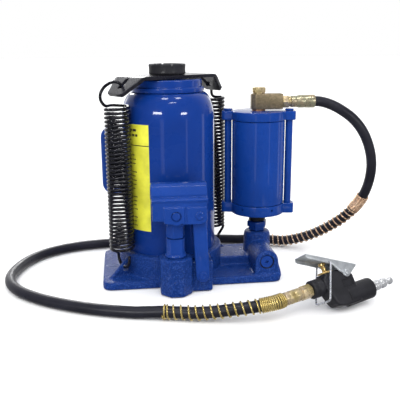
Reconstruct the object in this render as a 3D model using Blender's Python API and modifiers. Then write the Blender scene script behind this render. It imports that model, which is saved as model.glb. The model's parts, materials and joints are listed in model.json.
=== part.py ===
"""Air and hydraulic bottle jack: CAD model.

Metres, +Z up. The origin is on the ram's axis, on the floor. +X points to the air motor and -Y to the
hand pump. Every piece is its own object, and each moving piece has its origin on its joint's axis.
"""
import math

import bmesh
import bpy
from mathutils import Euler, Matrix, Vector

# ---------------------------------------------------------------- driving dimensions
GAP = 0.0003                      # running and fitting gap between neighbouring solids

# base casting
PLATE_LEFT, PLATE_RIGHT = -0.0872, 0.1337
PLATE_HALF_DEPTH = 0.065
PLATE_TOP = 0.010
PLATE_CORNER = 0.012
COLLAR_R = 0.0655
COLLAR_TOP = 0.038
WEB_HALF_WIDTH, WEB_TOP = 0.021, 0.021
GUSSET_THICKNESS = 0.0055
GUSSET_REACH = 0.094              # radius at which a spring gusset meets the plate
HOOK_HOLE_R = 0.0046

# reservoir and lifting parts, all turned about Z
TANK_R, TANK_WALL = 0.0573, 0.003
SHOULDER_START, SHOULDER_TOP = 0.198, 0.2317
NECK_R = 0.0425
NUT_FLANGE_R, NUT_R = 0.0446, 0.042
NUT_BOTTOM, NUT_STEP, NUT_TOP = 0.232, 0.238, 0.247
INNER_TUBE_R, INNER_BORE_R = 0.036, 0.0303
RAM_R, RAM_PISTON_R = 0.0243, 0.0299
RAM_BOTTOM, RAM_TOP = 0.0205, 0.2473
SCREW_R = 0.015
SADDLE_R, SADDLE_BOTTOM, SADDLE_TOP = 0.0226, 0.2524, 0.265

# spring yoke and return springs
SPRING_ANGLE = math.radians(32.5)   # direction of the right spring from +X; the left one is opposite
YOKE_TOP, YOKE_THICKNESS = 0.252, 0.004
YOKE_HALF_LENGTH = 0.0540         # from the ram's axis to the fold
YOKE_HALF_WIDTH, YOKE_TIP_HALF_WIDTH = 0.028, 0.0155
YOKE_FLAP = 0.030                 # length of each bent flap
YOKE_BEND = math.radians(40)
SPRING_AXIS_R = 0.0738
SPRING_MEAN_R, SPRING_WIRE_R = 0.0138, 0.00175
SPRING_BOTTOM, SPRING_TOP, SPRING_TURNS = 0.0445, 0.2165, 35

# hand pump
PUMP_Y = -0.079
BOSS_FLAT_R = 0.019               # half the width across the flats of the octagonal boss
BOSS_TOP = 0.046
PLUNGER_R = 0.0070
PLUNGER_PIN_Z = 0.0985
PLUNGER_PIN_R = 0.0050
LINK_TOP_X, LINK_FOOT_X, LINK_FOOT_Z = 0.027, 0.031, 0.023
LINK_PIN_R = 0.0040
LINK_CLEARANCE = 0.0015           # radial play of the open pivot at the links' upper end
SOCKET_R, SOCKET_BORE_R, SOCKET_Z = 0.0125, 0.0098, 0.122
SOCKET_LEFT, SOCKET_RIGHT = -0.028, 0.0365
CHEEK_INNER, CHEEK_OUTER = 0.0115, 0.0180
LUG_LEFT, LUG_RIGHT, LUG_FRONT, LUG_TOP = 0.019, 0.044, -0.0825, 0.038

# air motor
MOTOR_X = 0.1145
TOWER_R, TOWER_TOP = 0.0172, 0.050
VALVE_BOSS_R, VALVE_BOSS_FRONT, VALVE_Z = 0.0145, -0.062, 0.026
MOTOR_R, MOTOR_BORE_R = 0.0335, 0.0305
CAP_R, EAR_REACH, EAR_HALF_WIDTH, EAR_TIP_HALF_WIDTH = 0.0342, 0.0465, 0.0085, 0.0081
LOWER_CAP, UPPER_CAP = (0.075, 0.088), (0.195, 0.206)
EAR_ANGLE = math.radians(-12)
TIE_ROD_AT, TIE_ROD_R = 0.0392, 0.0046
AIR_PLUNGER_R, AIR_BORE_R = 0.0050, 0.0054
BLOCK_LEFT, BLOCK_RIGHT, BLOCK_HALF_DEPTH = 0.1045, 0.1437, 0.00875
BLOCK_BOTTOM, BLOCK_TOP = 0.208, 0.227
HOSE_Z = 0.2165

# air hose and the hand valve on its end
HOSE_R = 0.00675
FERRULE_END_X = 0.1862
VALVE_PLACE = Vector((0.1402, -0.1579, 0.0262))      # centre of the valve's rear face
VALVE_HEADING, VALVE_PITCH, VALVE_ROLL = math.radians(22), math.radians(5), math.radians(32)
FITTING_LENGTH = 0.0363
LEVER_PIVOT = (0.0460, 0.0060)                       # along and above the rear face's axis
OUTLET_DROP, OUTLET_R, OUTLET_END = 0.0187, 0.0105, 0.0775

HOSE_ROUTE = [                                       # through these points, from ferrule to fitting
    (0.1865, 0.000, 0.2165), (0.1960, 0.000, 0.2155), (0.2080, -0.002, 0.2118), (0.2200, -0.005, 0.2055),
    (0.2350, -0.008, 0.1945), (0.2480, -0.010, 0.1790), (0.2588, -0.009, 0.1575), (0.2655, -0.005, 0.1320),
    (0.2652, 0.002, 0.1045), (0.2590, 0.012, 0.0803), (0.2450, 0.026, 0.0560), (0.2230, 0.042, 0.0345),
    (0.1980, 0.056, 0.0190), (0.1730, 0.069, 0.0098), (0.1500, 0.079, 0.00685), (0.0910, 0.096, 0.00685),
    (0.0400, 0.102, 0.00685), (0.0000, 0.104, 0.00685), (-0.0500, 0.104, 0.00685), (-0.0950, 0.101, 0.00685),
    (-0.1240, 0.095, 0.00685), (-0.1505, 0.083, 0.00685), (-0.1710, 0.067, 0.00685), (-0.1870, 0.0445, 0.00685),
    (-0.1985, 0.013, 0.00685), (-0.2020, -0.017, 0.00685), (-0.1970, -0.043, 0.00685),
    (-0.1830, -0.0675, 0.00685), (-0.1595, -0.091, 0.00685), (-0.1320, -0.1105, 0.00685),
    (-0.0990, -0.1280, 0.00685), (-0.0660, -0.1405, 0.00685), (-0.0340, -0.1490, 0.00685),
    (-0.0070, -0.1555, 0.00760), (0.0240, -0.1635, 0.0103), (0.0520, -0.1695, 0.0143),
    (0.0780, -0.1730, 0.0180),
]
REAR_GUARD = (0.172, 0.352)                          # start and end along the hose, from the ferrule
FRONT_GUARD = 0.132                                  # length of the guard at the hose's far end
GUARD_CLEARANCE, GUARD_WALL = 0.0007, 0.0014

LARGE_ROUND = 36                                     # facets of the widest round pieces
ROUND = 24
SMALL_ROUND = 14

# ---------------------------------------------------------------- scene, materials, helpers
for old in list(bpy.data.objects):
    bpy.data.objects.remove(old, do_unlink=True)

jack = bpy.data.collections.new("bottle_jack")
cutters = bpy.data.collections.new("cutters")
bpy.context.scene.collection.children.link(jack)
bpy.context.scene.collection.children.link(cutters)


def material(name, colour, roughness, metallic):
    """A Principled material; the colour is linear RGB."""
    made = bpy.data.materials.new(name)
    made.use_nodes = True
    shader = made.node_tree.nodes["Principled BSDF"]
    shader.inputs["Base Color"].default_value = (*colour, 1.0)
    shader.inputs["Roughness"].default_value = roughness
    shader.inputs["Metallic"].default_value = metallic
    return made


BLUE = (0.012, 0.045, 0.30)
BLACK = (0.012, 0.012, 0.015)
ZINC = (0.48, 0.40, 0.26)
STEEL = (0.45, 0.46, 0.48)
RUBBER = (0.015, 0.015, 0.017)
BRASS = (0.60, 0.42, 0.18)


def painted(name):
    return material(name, BLUE, 0.3, 0.0)


def black(name):
    return material(name, BLACK, 0.4, 0.0)


def zinc(name):
    return material(name, ZINC, 0.35, 1.0)


def steel(name):
    return material(name, STEEL, 0.3, 1.0)


def rubber(name):
    return material(name, RUBBER, 0.6, 0.0)


def brass(name):
    return material(name, BRASS, 0.3, 1.0)


def empty(name, location, rotation=(0, 0, 0)):
    """A guide frame that holds pieces built on their own local axes."""
    made = bpy.data.objects.new(name, None)
    made.location = location
    made.rotation_euler = rotation
    jack.objects.link(made)
    return made


def link(name, mesh, finish=None, parent=None, location=(0, 0, 0), rotation=(0, 0, 0)):
    """Put a mesh in the model as one object."""
    made = bpy.data.objects.new(name, mesh)
    made.location = location
    made.rotation_euler = rotation
    made.parent = parent
    jack.objects.link(made)
    if finish:
        mesh.materials.append(finish)
    return made


def to_cutter(obj):
    """Turn an object into a guide for Boolean cuts."""
    jack.objects.unlink(obj)
    cutters.objects.link(obj)
    obj.hide_render = True
    obj.display_type = "WIRE"
    return obj


def combine(obj, other, operation):
    """Cut one object by another, or join it to another, and keep the other as a guide."""
    if other.name not in cutters.objects:
        to_cutter(other)
    step = obj.modifiers.new(operation.lower(), "BOOLEAN")
    step.operation = operation
    step.solver = "EXACT"
    step.object = other


def cut(obj, *tools):
    for tool in tools:
        combine(obj, tool, "DIFFERENCE")


def join(obj, *additions):
    for addition in additions:
        combine(obj, addition, "UNION")


def turned(name, profile, steps, **place):
    """A solid of revolution about local Z. The profile is (radius, height), outer side from the top down."""
    closed = profile[0][0] > 1e-6 or profile[-1][0] > 1e-6
    mesh = bpy.data.meshes.new(name)
    edges = [(i, i + 1) for i in range(len(profile) - 1)]
    if closed:
        edges.append((len(profile) - 1, 0))
    mesh.from_pydata([(r, 0.0, z) for r, z in profile], edges, [])
    made = link(name, mesh, **place)
    screw = made.modifiers.new("turn", "SCREW")
    screw.steps = steps
    screw.render_steps = steps
    screw.use_merge_vertices = True
    screw.merge_threshold = 0.00001
    return made


def rod(name, radius, low, high, steps=SMALL_ROUND, chamfer=0.0, **place):
    """A plain round bar along local Z, its ends chamfered if asked."""
    profile = [(0, high), (radius - chamfer, high)]
    if chamfer:
        profile += [(radius, high - chamfer), (radius, low + chamfer)]
    else:
        profile += [(radius, low)]
    if chamfer:
        profile += [(radius - chamfer, low)]
    profile += [(0, low)]
    return turned(name, profile, steps, **place)


def ring(name, inner, outer, low, high, steps=ROUND, **place):
    """A plain ring about local Z."""
    return turned(name, [(outer, high), (outer, low), (inner, low), (inner, high)], steps, **place)


def arc(centre, radius, start, end, count):
    """Points on an arc, angles in degrees."""
    angles = [math.radians(start + (end - start) * i / count) for i in range(count + 1)]
    return [(centre[0] + radius * math.cos(a), centre[1] + radius * math.sin(a)) for a in angles]


def rounded_box(left, right, low, high, radius, count=4):
    """The outline of a rectangle with round corners."""
    outline = []
    corners = [(right - radius, high - radius, 0), (left + radius, high - radius, 90),
               (left + radius, low + radius, 180), (right - radius, low + radius, 270)]
    for x, y, angle in corners:
        outline += arc((x, y), radius, angle, angle + 90, count)
    return outline


def polygon(sides, flat_radius, turn=0.0):
    """A regular polygon by half its width across the flats."""
    radius = flat_radius / math.cos(math.pi / sides)
    step = 360 / sides
    return [p for i in range(sides) for p in arc((0, 0), radius, turn + i * step, turn + i * step, 1)[:1]]


def slab(name, outline, low, high, bevel=0.0, **place):
    """A flat outline in local X and Y, thickened from low to high."""
    curve = bpy.data.curves.new(name, "CURVE")
    curve.dimensions = "2D"
    curve.fill_mode = "BOTH"
    curve.extrude = (high - low) / 2
    spline = curve.splines.new("POLY")
    spline.points.add(len(outline) - 1)
    for point, (x, y) in zip(spline.points, outline):
        point.co = (x, y, 0, 1)
    spline.use_cyclic_u = True
    draft = bpy.data.objects.new(name + "_draft", curve)
    jack.objects.link(draft)
    mesh = solid_from_curve(draft)
    mesh.transform(Matrix.Translation((0, 0, (high + low) / 2)))
    mesh.name = name
    made = link(name, mesh, **place)
    if bevel:
        edge = made.modifiers.new("edge", "BEVEL")
        edge.width = bevel
        edge.segments = 1
        edge.limit_method = "ANGLE"
        edge.angle_limit = math.radians(50)
    return made


def solid_from_curve(draft):
    """The welded mesh of a curve object, which is then removed."""
    graph = bpy.context.evaluated_depsgraph_get()
    mesh = bpy.data.meshes.new_from_object(draft.evaluated_get(graph))
    work = bmesh.new()
    work.from_mesh(mesh)
    bmesh.ops.remove_doubles(work, verts=work.verts, dist=1e-6)
    bmesh.ops.recalc_face_normals(work, faces=work.faces)
    work.to_mesh(mesh)
    work.free()
    mesh.transform(draft.matrix_world)
    curve = draft.data
    bpy.data.objects.remove(draft, do_unlink=True)
    bpy.data.curves.remove(curve)
    return mesh


def wire(name, points, radius, sides_level=1, finish=None, parent=None):
    """A round wire or tube along a list of points, with closed ends."""
    curve = bpy.data.curves.new(name, "CURVE")
    curve.dimensions = "3D"
    curve.bevel_depth = radius
    curve.bevel_resolution = sides_level
    curve.use_fill_caps = True
    curve.render_resolution_u = 0
    spline = curve.splines.new("POLY")
    spline.points.add(len(points) - 1)
    for point, place in zip(spline.points, points):
        point.co = (*place, 1)
    made = bpy.data.objects.new(name, curve)
    made.parent = parent
    jack.objects.link(made)
    if finish:
        curve.materials.append(finish)
    return made


FRONTWARD = (math.radians(90), 0, 0)      # lays local Z along -Y, with local Y up
RIGHTWARD = (0, math.radians(90), 0)      # lays local Z along +X


# ---------------------------------------------------------------- base casting
def spring_direction(side):
    """Angle from +X of a return spring: side is +1 for the right one, -1 for the left one."""
    return SPRING_ANGLE if side > 0 else SPRING_ANGLE + math.pi


base = slab("base_casting", rounded_box(PLATE_LEFT, PLATE_RIGHT, -PLATE_HALF_DEPTH, PLATE_HALF_DEPTH,
                                        PLATE_CORNER), 0.0, PLATE_TOP, bevel=0.0015,
            finish=painted("cast_blue"))
collar = rod("collar", COLLAR_R, 0.0005, COLLAR_TOP, steps=LARGE_ROUND, chamfer=0.0015)
web = slab("web", rounded_box(0.050, MOTOR_X, -WEB_HALF_WIDTH, WEB_HALF_WIDTH, 0.003), 0.004, WEB_TOP, bevel=0.0015)
tower = turned("tower", [(0, TOWER_TOP), (TOWER_R - 0.004, TOWER_TOP), (TOWER_R - 0.0012, TOWER_TOP - 0.0015),
                         (TOWER_R, TOWER_TOP - 0.005), (TOWER_R + 0.0008, 0.004), (0, 0.004)], ROUND,
               location=(MOTOR_X, 0, 0))
pump_boss = slab("pump_boss", polygon(8, BOSS_FLAT_R, 22.5), 0.0, BOSS_TOP, bevel=0.0015,
                 location=(0, PUMP_Y, 0))
boss_bridge = slab("boss_bridge", rounded_box(-BOSS_FLAT_R + 0.0006, BOSS_FLAT_R - 0.0006, PUMP_Y, -0.045, 0.001, 1),
                   0.001, COLLAR_TOP - 0.001)
lug = slab("link_lug", rounded_box(LUG_LEFT - 0.003, LUG_RIGHT, LUG_FRONT, -0.040, 0.003), 0.0006, LUG_TOP,
           bevel=0.0015)
boss_outline = ([(VALVE_BOSS_R + 0.0045, -VALVE_Z + 0.006), (VALVE_BOSS_R + 0.003, -VALVE_Z + 0.0145),
                 (VALVE_BOSS_R, -0.002)] + arc((0, 0), VALVE_BOSS_R, 0, 180, 12)
                + [(-VALVE_BOSS_R, -VALVE_Z + 0.006)])
valve_boss = slab("valve_boss", boss_outline, 0.0, -VALVE_BOSS_FRONT, bevel=0.001,
                  location=(MOTOR_X, 0, VALVE_Z), rotation=FRONTWARD)
join(base, collar, web, tower, pump_boss, boss_bridge, lug, valve_boss)

for side in (1, -1):
    turn = spring_direction(side)
    outline = [(COLLAR_R - 0.004, 0.004), (GUSSET_REACH + 0.002, 0.004), (GUSSET_REACH, PLATE_TOP + 0.0005),
               (COLLAR_R - 0.001, 0.0345), (COLLAR_R - 0.004, 0.0345)]
    gusset = slab(f"gusset_{side}", outline, -GUSSET_THICKNESS / 2, GUSSET_THICKNESS / 2,
                  rotation=(math.radians(90), 0, turn))
    hole = rod(f"hook_hole_{side}", HOOK_HOLE_R, -0.006, 0.006, steps=12,
               location=(0.0715 * math.cos(turn), 0.0715 * math.sin(turn), 0.0205),
               rotation=(math.radians(90), 0, turn))
    join(base, gusset)
    cut(base, hole)

cut(base,
    rod("tank_seat", TANK_R + GAP, 0.0240, 0.050, steps=LARGE_ROUND),
    rod("inner_tube_seat", INNER_TUBE_R + GAP, 0.0140, 0.030, steps=ROUND),
    rod("pump_bore", 0.0103, 0.0120, 0.060, location=(0, PUMP_Y, 0)),
    rod("air_pump_bore", AIR_BORE_R, 0.0090, 0.060, location=(MOTOR_X, 0, 0)),
    rod("neck_thread", 0.0086, 0.0357, 0.060, location=(MOTOR_X, 0, 0)),
    rod("release_bore", 0.0070, 0.0270, 0.0700, location=(MOTOR_X, 0, VALVE_Z), rotation=FRONTWARD),
    rod("release_counterbore", 0.0090, 0.0580, 0.0700, location=(MOTOR_X, 0, VALVE_Z), rotation=FRONTWARD),
    rod("link_foot_hole", LINK_PIN_R + GAP, 0.0580, 0.0900, location=(LINK_FOOT_X, 0, LINK_FOOT_Z),
        rotation=FRONTWARD),
    slab("rear_link_slot", rounded_box(0.0175, 0.060, -0.0763, -0.0672, 0.0005, 1), 0.0115, 0.060))

# ---------------------------------------------------------------- reservoir and lifting column
shoulder = [(NECK_R + (TANK_R - NECK_R) * math.cos(math.radians(90 - 22.5 * i)),
             SHOULDER_START + (SHOULDER_TOP - SHOULDER_START) * math.sin(math.radians(90 - 22.5 * i)))
            for i in range(5)]
inner_shoulder = [(r - TANK_WALL * math.cos(math.radians(90 - 22.5 * i)),
                   z - TANK_WALL * math.sin(math.radians(90 - 22.5 * i))) for i, (r, z) in enumerate(shoulder)]
TANK_BOTTOM = 0.0264
tank_profile = ([(INNER_TUBE_R + 0.001, SHOULDER_TOP)] + shoulder + [(TANK_R, TANK_BOTTOM)]
                + [(TANK_R - TANK_WALL, TANK_BOTTOM)] + inner_shoulder[::-1]
                + [(INNER_TUBE_R + 0.001, SHOULDER_TOP - TANK_WALL)])
tank = turned("reservoir_tank", tank_profile, LARGE_ROUND, finish=painted("tank_blue"))
FILLER_Z = 0.182
cut(tank, rod("filler_hole", 0.0055, 0.050, 0.062, location=(0, 0, FILLER_Z),
              rotation=(math.radians(-90), 0, 0)))
turned("oil_filler_plug", [(0, 0.0610), (0.0062, 0.0610), (0.0072, 0.0600), (0.0072, 0.0579), (0.0051, 0.0579),
                           (0.0051, 0.0535), (0, 0.0535)], 16, finish=rubber("plug_rubber"),
       location=(0, 0, FILLER_Z), rotation=(math.radians(-90), 0, 0))
ring("tank_gasket", TANK_R - TANK_WALL + 0.0002, TANK_R - 0.0003, 0.0243, 0.0261, LARGE_ROUND, finish=rubber("gasket"))
ring("hydraulic_cylinder", INNER_BORE_R, INNER_TUBE_R, 0.0143, 0.2395, finish=steel("inner_tube"))
turned("tank_top_nut",
       [(NUT_R - 0.001, NUT_TOP), (NUT_R, NUT_TOP - 0.001), (NUT_R, NUT_STEP), (NUT_FLANGE_R, NUT_STEP - 0.0005),
        (NUT_FLANGE_R, NUT_BOTTOM), (INNER_TUBE_R + GAP, NUT_BOTTOM), (INNER_TUBE_R + GAP, 0.2398),
        (RAM_R + GAP, 0.2398), (RAM_R + GAP, 0.2410), (0.0283, 0.2410), (0.0283, 0.2450),
        (RAM_R + GAP, 0.2450), (RAM_R + GAP, NUT_TOP)], ROUND, finish=painted("nut_blue"))
ring("rod_wiper_seal", RAM_R + GAP, 0.0280, 0.2413, 0.2447, finish=rubber("wiper"))
turned("ram", [(RAM_R - 0.001, RAM_TOP), (RAM_R, RAM_TOP - 0.001), (RAM_R, 0.0400), (RAM_PISTON_R, 0.0400),
               (RAM_PISTON_R, 0.0330), (0.0268, 0.0330), (0.0268, 0.0270), (RAM_PISTON_R, 0.0270),
               (RAM_PISTON_R, RAM_BOTTOM), (0.006, RAM_BOTTOM), (0.006, 0.0300), (0.004, 0.1780),
               (SCREW_R + GAP, 0.1780), (SCREW_R + GAP, RAM_TOP)], ROUND, finish=steel("ram_steel"))
ring("ram_piston_seal", 0.0271, 0.0300, 0.0273, 0.0327, finish=rubber("ram_seal"))
turned("extension_screw", [(0, 0.2590), (0.008, 0.2590), (0.008, 0.2521), (SCREW_R - 0.001, 0.2521),
                           (SCREW_R, 0.2511), (SCREW_R, 0.1800), (0, 0.1800)], 24, finish=steel("screw_steel"))
saddle = turned("saddle", [(0, SADDLE_TOP - 0.0015), (0.0175, SADDLE_TOP - 0.0015), (0.0190, SADDLE_TOP),
                           (SADDLE_R - 0.0012, SADDLE_TOP), (SADDLE_R, SADDLE_TOP - 0.0012),
                           (SADDLE_R, SADDLE_BOTTOM + 0.0012), (SADDLE_R - 0.0012, SADDLE_BOTTOM),
                           (0.0083, SADDLE_BOTTOM), (0.0083, 0.2593), (0, 0.2593)], ROUND,
                finish=black("saddle_black"))
for turn in (0, math.pi / 2):
    cut(saddle, slab(f"saddle_groove_{turn:.0f}", rounded_box(-0.03, 0.03, -0.0014, 0.0014, 0.0005, 1),
                     SADDLE_TOP - 0.0028, SADDLE_TOP + 0.002, rotation=(0, 0, turn)))


# ---------------------------------------------------------------- spring yoke
def yoke_section(path):
    """Radius, height and half width of the yoke's top face at a distance along it from the middle."""
    bend_r = 0.008
    arc_length = bend_r * YOKE_BEND
    start = YOKE_HALF_LENGTH - bend_r * math.tan(YOKE_BEND / 2)
    if path <= start:
        return path, YOKE_TOP, YOKE_HALF_WIDTH
    bent = min(path - start, arc_length) / bend_r
    radius = start + bend_r * math.sin(bent)
    height = YOKE_TOP - bend_r * (1 - math.cos(bent))
    beyond = max(0.0, path - start - arc_length)
    radius += beyond * math.cos(YOKE_BEND)
    height -= beyond * math.sin(YOKE_BEND)
    taper = max(0.0, path - YOKE_HALF_LENGTH) / YOKE_FLAP
    half_width = YOKE_HALF_WIDTH + (YOKE_TIP_HALF_WIDTH - YOKE_HALF_WIDTH) * taper
    return radius, height, half_width


yoke_stations = [0.0, 0.030, 0.0511, 0.0525, 0.0540, 0.0555, 0.0568, 0.068, YOKE_HALF_LENGTH + YOKE_FLAP]
yoke_mesh = bpy.data.meshes.new("spring_yoke")
sheet = bmesh.new()
rows = []
for station in yoke_stations:
    radius, height, half_width = yoke_section(station)
    rows.append([sheet.verts.new((radius, y, height)) for y in (-half_width, half_width)])
for near, far in zip(rows, rows[1:]):
    sheet.faces.new((near[0], far[0], far[1], near[1]))
sheet.to_mesh(yoke_mesh)
sheet.free()
yoke = link("spring_yoke", yoke_mesh, finish=black("yoke_black"), rotation=(0, 0, SPRING_ANGLE))
mirror = yoke.modifiers.new("other_half", "MIRROR")
mirror.merge_threshold = 0.0001
plate = yoke.modifiers.new("plate", "SOLIDIFY")
plate.thickness = YOKE_THICKNESS
plate.offset = -1
cut(yoke, rod("yoke_hole", SCREW_R + 0.0008, 0.240, 0.260))
slot_r, slot_z, _ = yoke_section(0.0655)
for side in (1, -1):
    tilt = Matrix.Rotation(spring_direction(side), 4, "Z") @ Matrix.Translation((slot_r, 0, slot_z))
    tilt = tilt @ Matrix.Rotation(YOKE_BEND, 4, "Y")
    cut(yoke, slab(f"hook_slot_{side}", rounded_box(-0.0080, 0.0100, -0.0038, 0.0038, 0.0037, 3), -0.012, 0.012,
                   location=tilt.to_translation(), rotation=tilt.to_euler()))


# ---------------------------------------------------------------- return springs and carry handle
def coil(centre, radius, low, high, turns, steps, start=0.0):
    """Points of a helix about a vertical axis."""
    total = int(round(turns * steps))
    return [Vector((centre[0] + radius * math.cos(start + 2 * math.pi * i / steps),
                    centre[1] + radius * math.sin(start + 2 * math.pi * i / steps),
                    low + (high - low) * i / total)) for i in range(total + 1)]


def smooth(points, count):
    """Points evenly placed along a smooth curve through the given points."""
    dense = []
    ends = [points[0] * 2 - points[1]] + list(points) + [points[-1] * 2 - points[-2]]
    for a, b, c, d in zip(ends, ends[1:], ends[2:], ends[3:]):
        knots = [0.0]
        for p, q in ((a, b), (b, c), (c, d)):
            knots.append(knots[-1] + max((q - p).length, 1e-6) ** 0.5)
        for i in range(24):
            t = knots[1] + (knots[2] - knots[1]) * i / 24
            first = blend(a, b, knots[0], knots[1], t)
            second = blend(b, c, knots[1], knots[2], t)
            third = blend(c, d, knots[2], knots[3], t)
            lower = blend(first, second, knots[0], knots[2], t)
            upper = blend(second, third, knots[1], knots[3], t)
            dense.append(blend(lower, upper, knots[1], knots[2], t))
    dense.append(points[-1].copy())
    return resample(dense, count)


def blend(p, q, start, end, t):
    return p + (q - p) * ((t - start) / (end - start))


def lengths(points):
    """Distance along a polyline at each of its points."""
    total = [0.0]
    for p, q in zip(points, points[1:]):
        total.append(total[-1] + (q - p).length)
    return total


def resample(points, count):
    """The same line with equally spaced points."""
    along = lengths(points)
    return [point_at(points, along, along[-1] * i / (count - 1)) for i in range(count)]


def point_at(points, along, distance):
    for i in range(len(points) - 1):
        if distance <= along[i + 1] + 1e-12:
            share = (distance - along[i]) / max(along[i + 1] - along[i], 1e-12)
            return points[i].lerp(points[i + 1], share)
    return points[-1].copy()


def spring_points(side):
    """A return spring's wire: lower hook, close coils, upper hook. Local X points away from the ram."""
    coils = coil((SPRING_AXIS_R, 0), SPRING_MEAN_R, SPRING_BOTTOM, SPRING_TOP, SPRING_TURNS, 5,
                 start=math.radians(-90))
    coils = coils[:-4]
    hook_r = 0.0122
    lower = [Vector((0.0720, hook_r * math.cos(a), 0.0330 + hook_r * math.sin(a)))
             for a in (math.radians(d) for d in (20, -10, -40, -70, -90, -110, -140, -170, -200))]
    lower = [Vector((p.x, -p.y, p.z)) for p in lower][::-1]
    upper = [Vector(p) for p in ((0.0885, 0, 0.2190), (0.0915, 0, 0.2250), (0.0905, 0, 0.2325),
                                 (0.0860, 0, 0.2390), (0.0800, 0, 0.2430), (0.0740, 0, 0.2445),
                                 (0.0695, 0, 0.2430), (0.0660, 0, 0.2395), (0.0630, 0, 0.2355))]
    turn = Matrix.Rotation(spring_direction(side), 4, "Z")
    return [turn @ p for p in lower + coils + upper]


for label, side in (("left", -1), ("right", 1)):
    wire(f"return_spring_{label}", spring_points(side), SPRING_WIRE_R, 0, finish=black(f"spring_black_{label}"))

GRIP_X, GRIP_LOW, GRIP_HIGH, GRIP_R = -0.0795, 0.110, 0.186, 0.0045
grip = ([(-0.0581, GRIP_LOW)] + arc((GRIP_X + 0.012, GRIP_LOW + 0.012), 0.012, 270, 180, 5)
        + arc((GRIP_X + 0.012, GRIP_HIGH - 0.012), 0.012, 180, 90, 5) + [(-0.0581, GRIP_HIGH)])
wire("carry_handle", [Vector((x, 0, z)) for x, z in grip], GRIP_R, 2, finish=painted("handle_blue"))

# ---------------------------------------------------------------- hand pump
pump = slab("pump_cylinder", polygon(6, 0.0098, 0), 0.0464, 0.0688, finish=painted("pump_blue"), bevel=0.0008,
            location=(0, PUMP_Y, 0))
join(pump, rod("pump_thread", 0.0100, 0.0200, 0.0480, location=(0, PUMP_Y, 0)))
cut(pump, rod("plunger_bore", PLUNGER_R + GAP, 0.0100, 0.0800, location=(0, PUMP_Y, 0)))

plunger_block = slab("pump_plunger", rounded_box(-0.0105, 0.0105, -0.0110, 0.0110, 0.0015, 1), -0.0290, -0.0130,
                     finish=painted("plunger_blue"), bevel=0.0010, location=(0, PUMP_Y, PLUNGER_PIN_Z))
tongue_outline = [(-0.0098, -0.0140), (0.0098, -0.0140)] + arc((0, 0), 0.0098, 0, 180, 10)
join(plunger_block,
     slab("plunger_tongue", tongue_outline, -0.0110, 0.0110, location=(0, PUMP_Y, PLUNGER_PIN_Z),
          rotation=FRONTWARD),
     rod("plunger_rod", PLUNGER_R, -0.0740, -0.0280, location=(0, PUMP_Y, PLUNGER_PIN_Z)))
cut(plunger_block, rod("plunger_eye", PLUNGER_PIN_R + GAP, -0.02, 0.02, location=(0, PUMP_Y, PLUNGER_PIN_Z),
                       rotation=FRONTWARD))

cheek_outline = ([(SOCKET_RIGHT - 0.0012, 0.0210), (SOCKET_LEFT + 0.0008, 0.0210), (SOCKET_LEFT + 0.0008, -0.0050)]
                 + arc((0.0, 0.0), 0.0108, 215, 290, 6) + [(0.0200, -0.0100)]
                 + arc((LINK_TOP_X + 0.0005, -0.0015), 0.0085, 280, 350, 4))
PIVOT = (0, PUMP_Y, PLUNGER_PIN_Z)
LINK_TOP = (LINK_TOP_X, PUMP_Y, PLUNGER_PIN_Z)
LINK_FOOT = (LINK_FOOT_X, PUMP_Y, LINK_FOOT_Z)
socket = slab("handle_socket", cheek_outline, CHEEK_INNER, CHEEK_OUTER, finish=painted("socket_blue"),
              location=PIVOT, rotation=FRONTWARD)
rear_cheek = slab("rear_cheek", cheek_outline, -CHEEK_OUTER, -CHEEK_INNER, location=PIVOT,
                  rotation=FRONTWARD)
socket_roof = slab("socket_roof", rounded_box(SOCKET_LEFT + 0.0004, SOCKET_RIGHT - 0.0008, -CHEEK_OUTER + 0.0006,
                                              CHEEK_OUTER - 0.0006, 0.001, 1), 0.1125, 0.1185,
                   location=(0, PUMP_Y, 0))
socket_tube = rod("socket_tube", SOCKET_R, SOCKET_LEFT, SOCKET_RIGHT, steps=ROUND,
                  location=(0, PUMP_Y, SOCKET_Z), rotation=RIGHTWARD)
join(socket, rear_cheek, socket_roof, socket_tube)
cut(socket,
    rod("socket_bore", SOCKET_BORE_R, -0.05, 0.06, steps=20, location=(0, PUMP_Y, SOCKET_Z), rotation=RIGHTWARD),
    rod("plunger_pin_hole", PLUNGER_PIN_R + GAP, -0.03, 0.03, location=PIVOT, rotation=FRONTWARD),
    rod("link_pin_hole", LINK_PIN_R + GAP, -0.03, 0.03, location=LINK_TOP, rotation=FRONTWARD))


def headed_pin(name, radius, head_r, tail, seat, place):
    """A round pin along -Y with a low head in front of its seat."""
    turned(name, [(0, seat + 0.0022), (head_r - 0.0008, seat + 0.0022), (head_r, seat + 0.0014),
                  (head_r, seat + GAP), (radius, seat + GAP), (radius, tail), (0, tail)], SMALL_ROUND,
           finish=painted(name + "_blue"), location=place, rotation=FRONTWARD)


LINK_OUTER, LINK_INNER = 0.0111, 0.0038
headed_pin("plunger_pin", PLUNGER_PIN_R, 0.0064, -0.0195, CHEEK_OUTER, PIVOT)
headed_pin("link_upper_pin", LINK_PIN_R, 0.0052, -0.0195, CHEEK_OUTER, LINK_TOP)
headed_pin("link_lower_pin", LINK_PIN_R, 0.0052, -0.0180, LINK_OUTER, LINK_FOOT)

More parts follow.
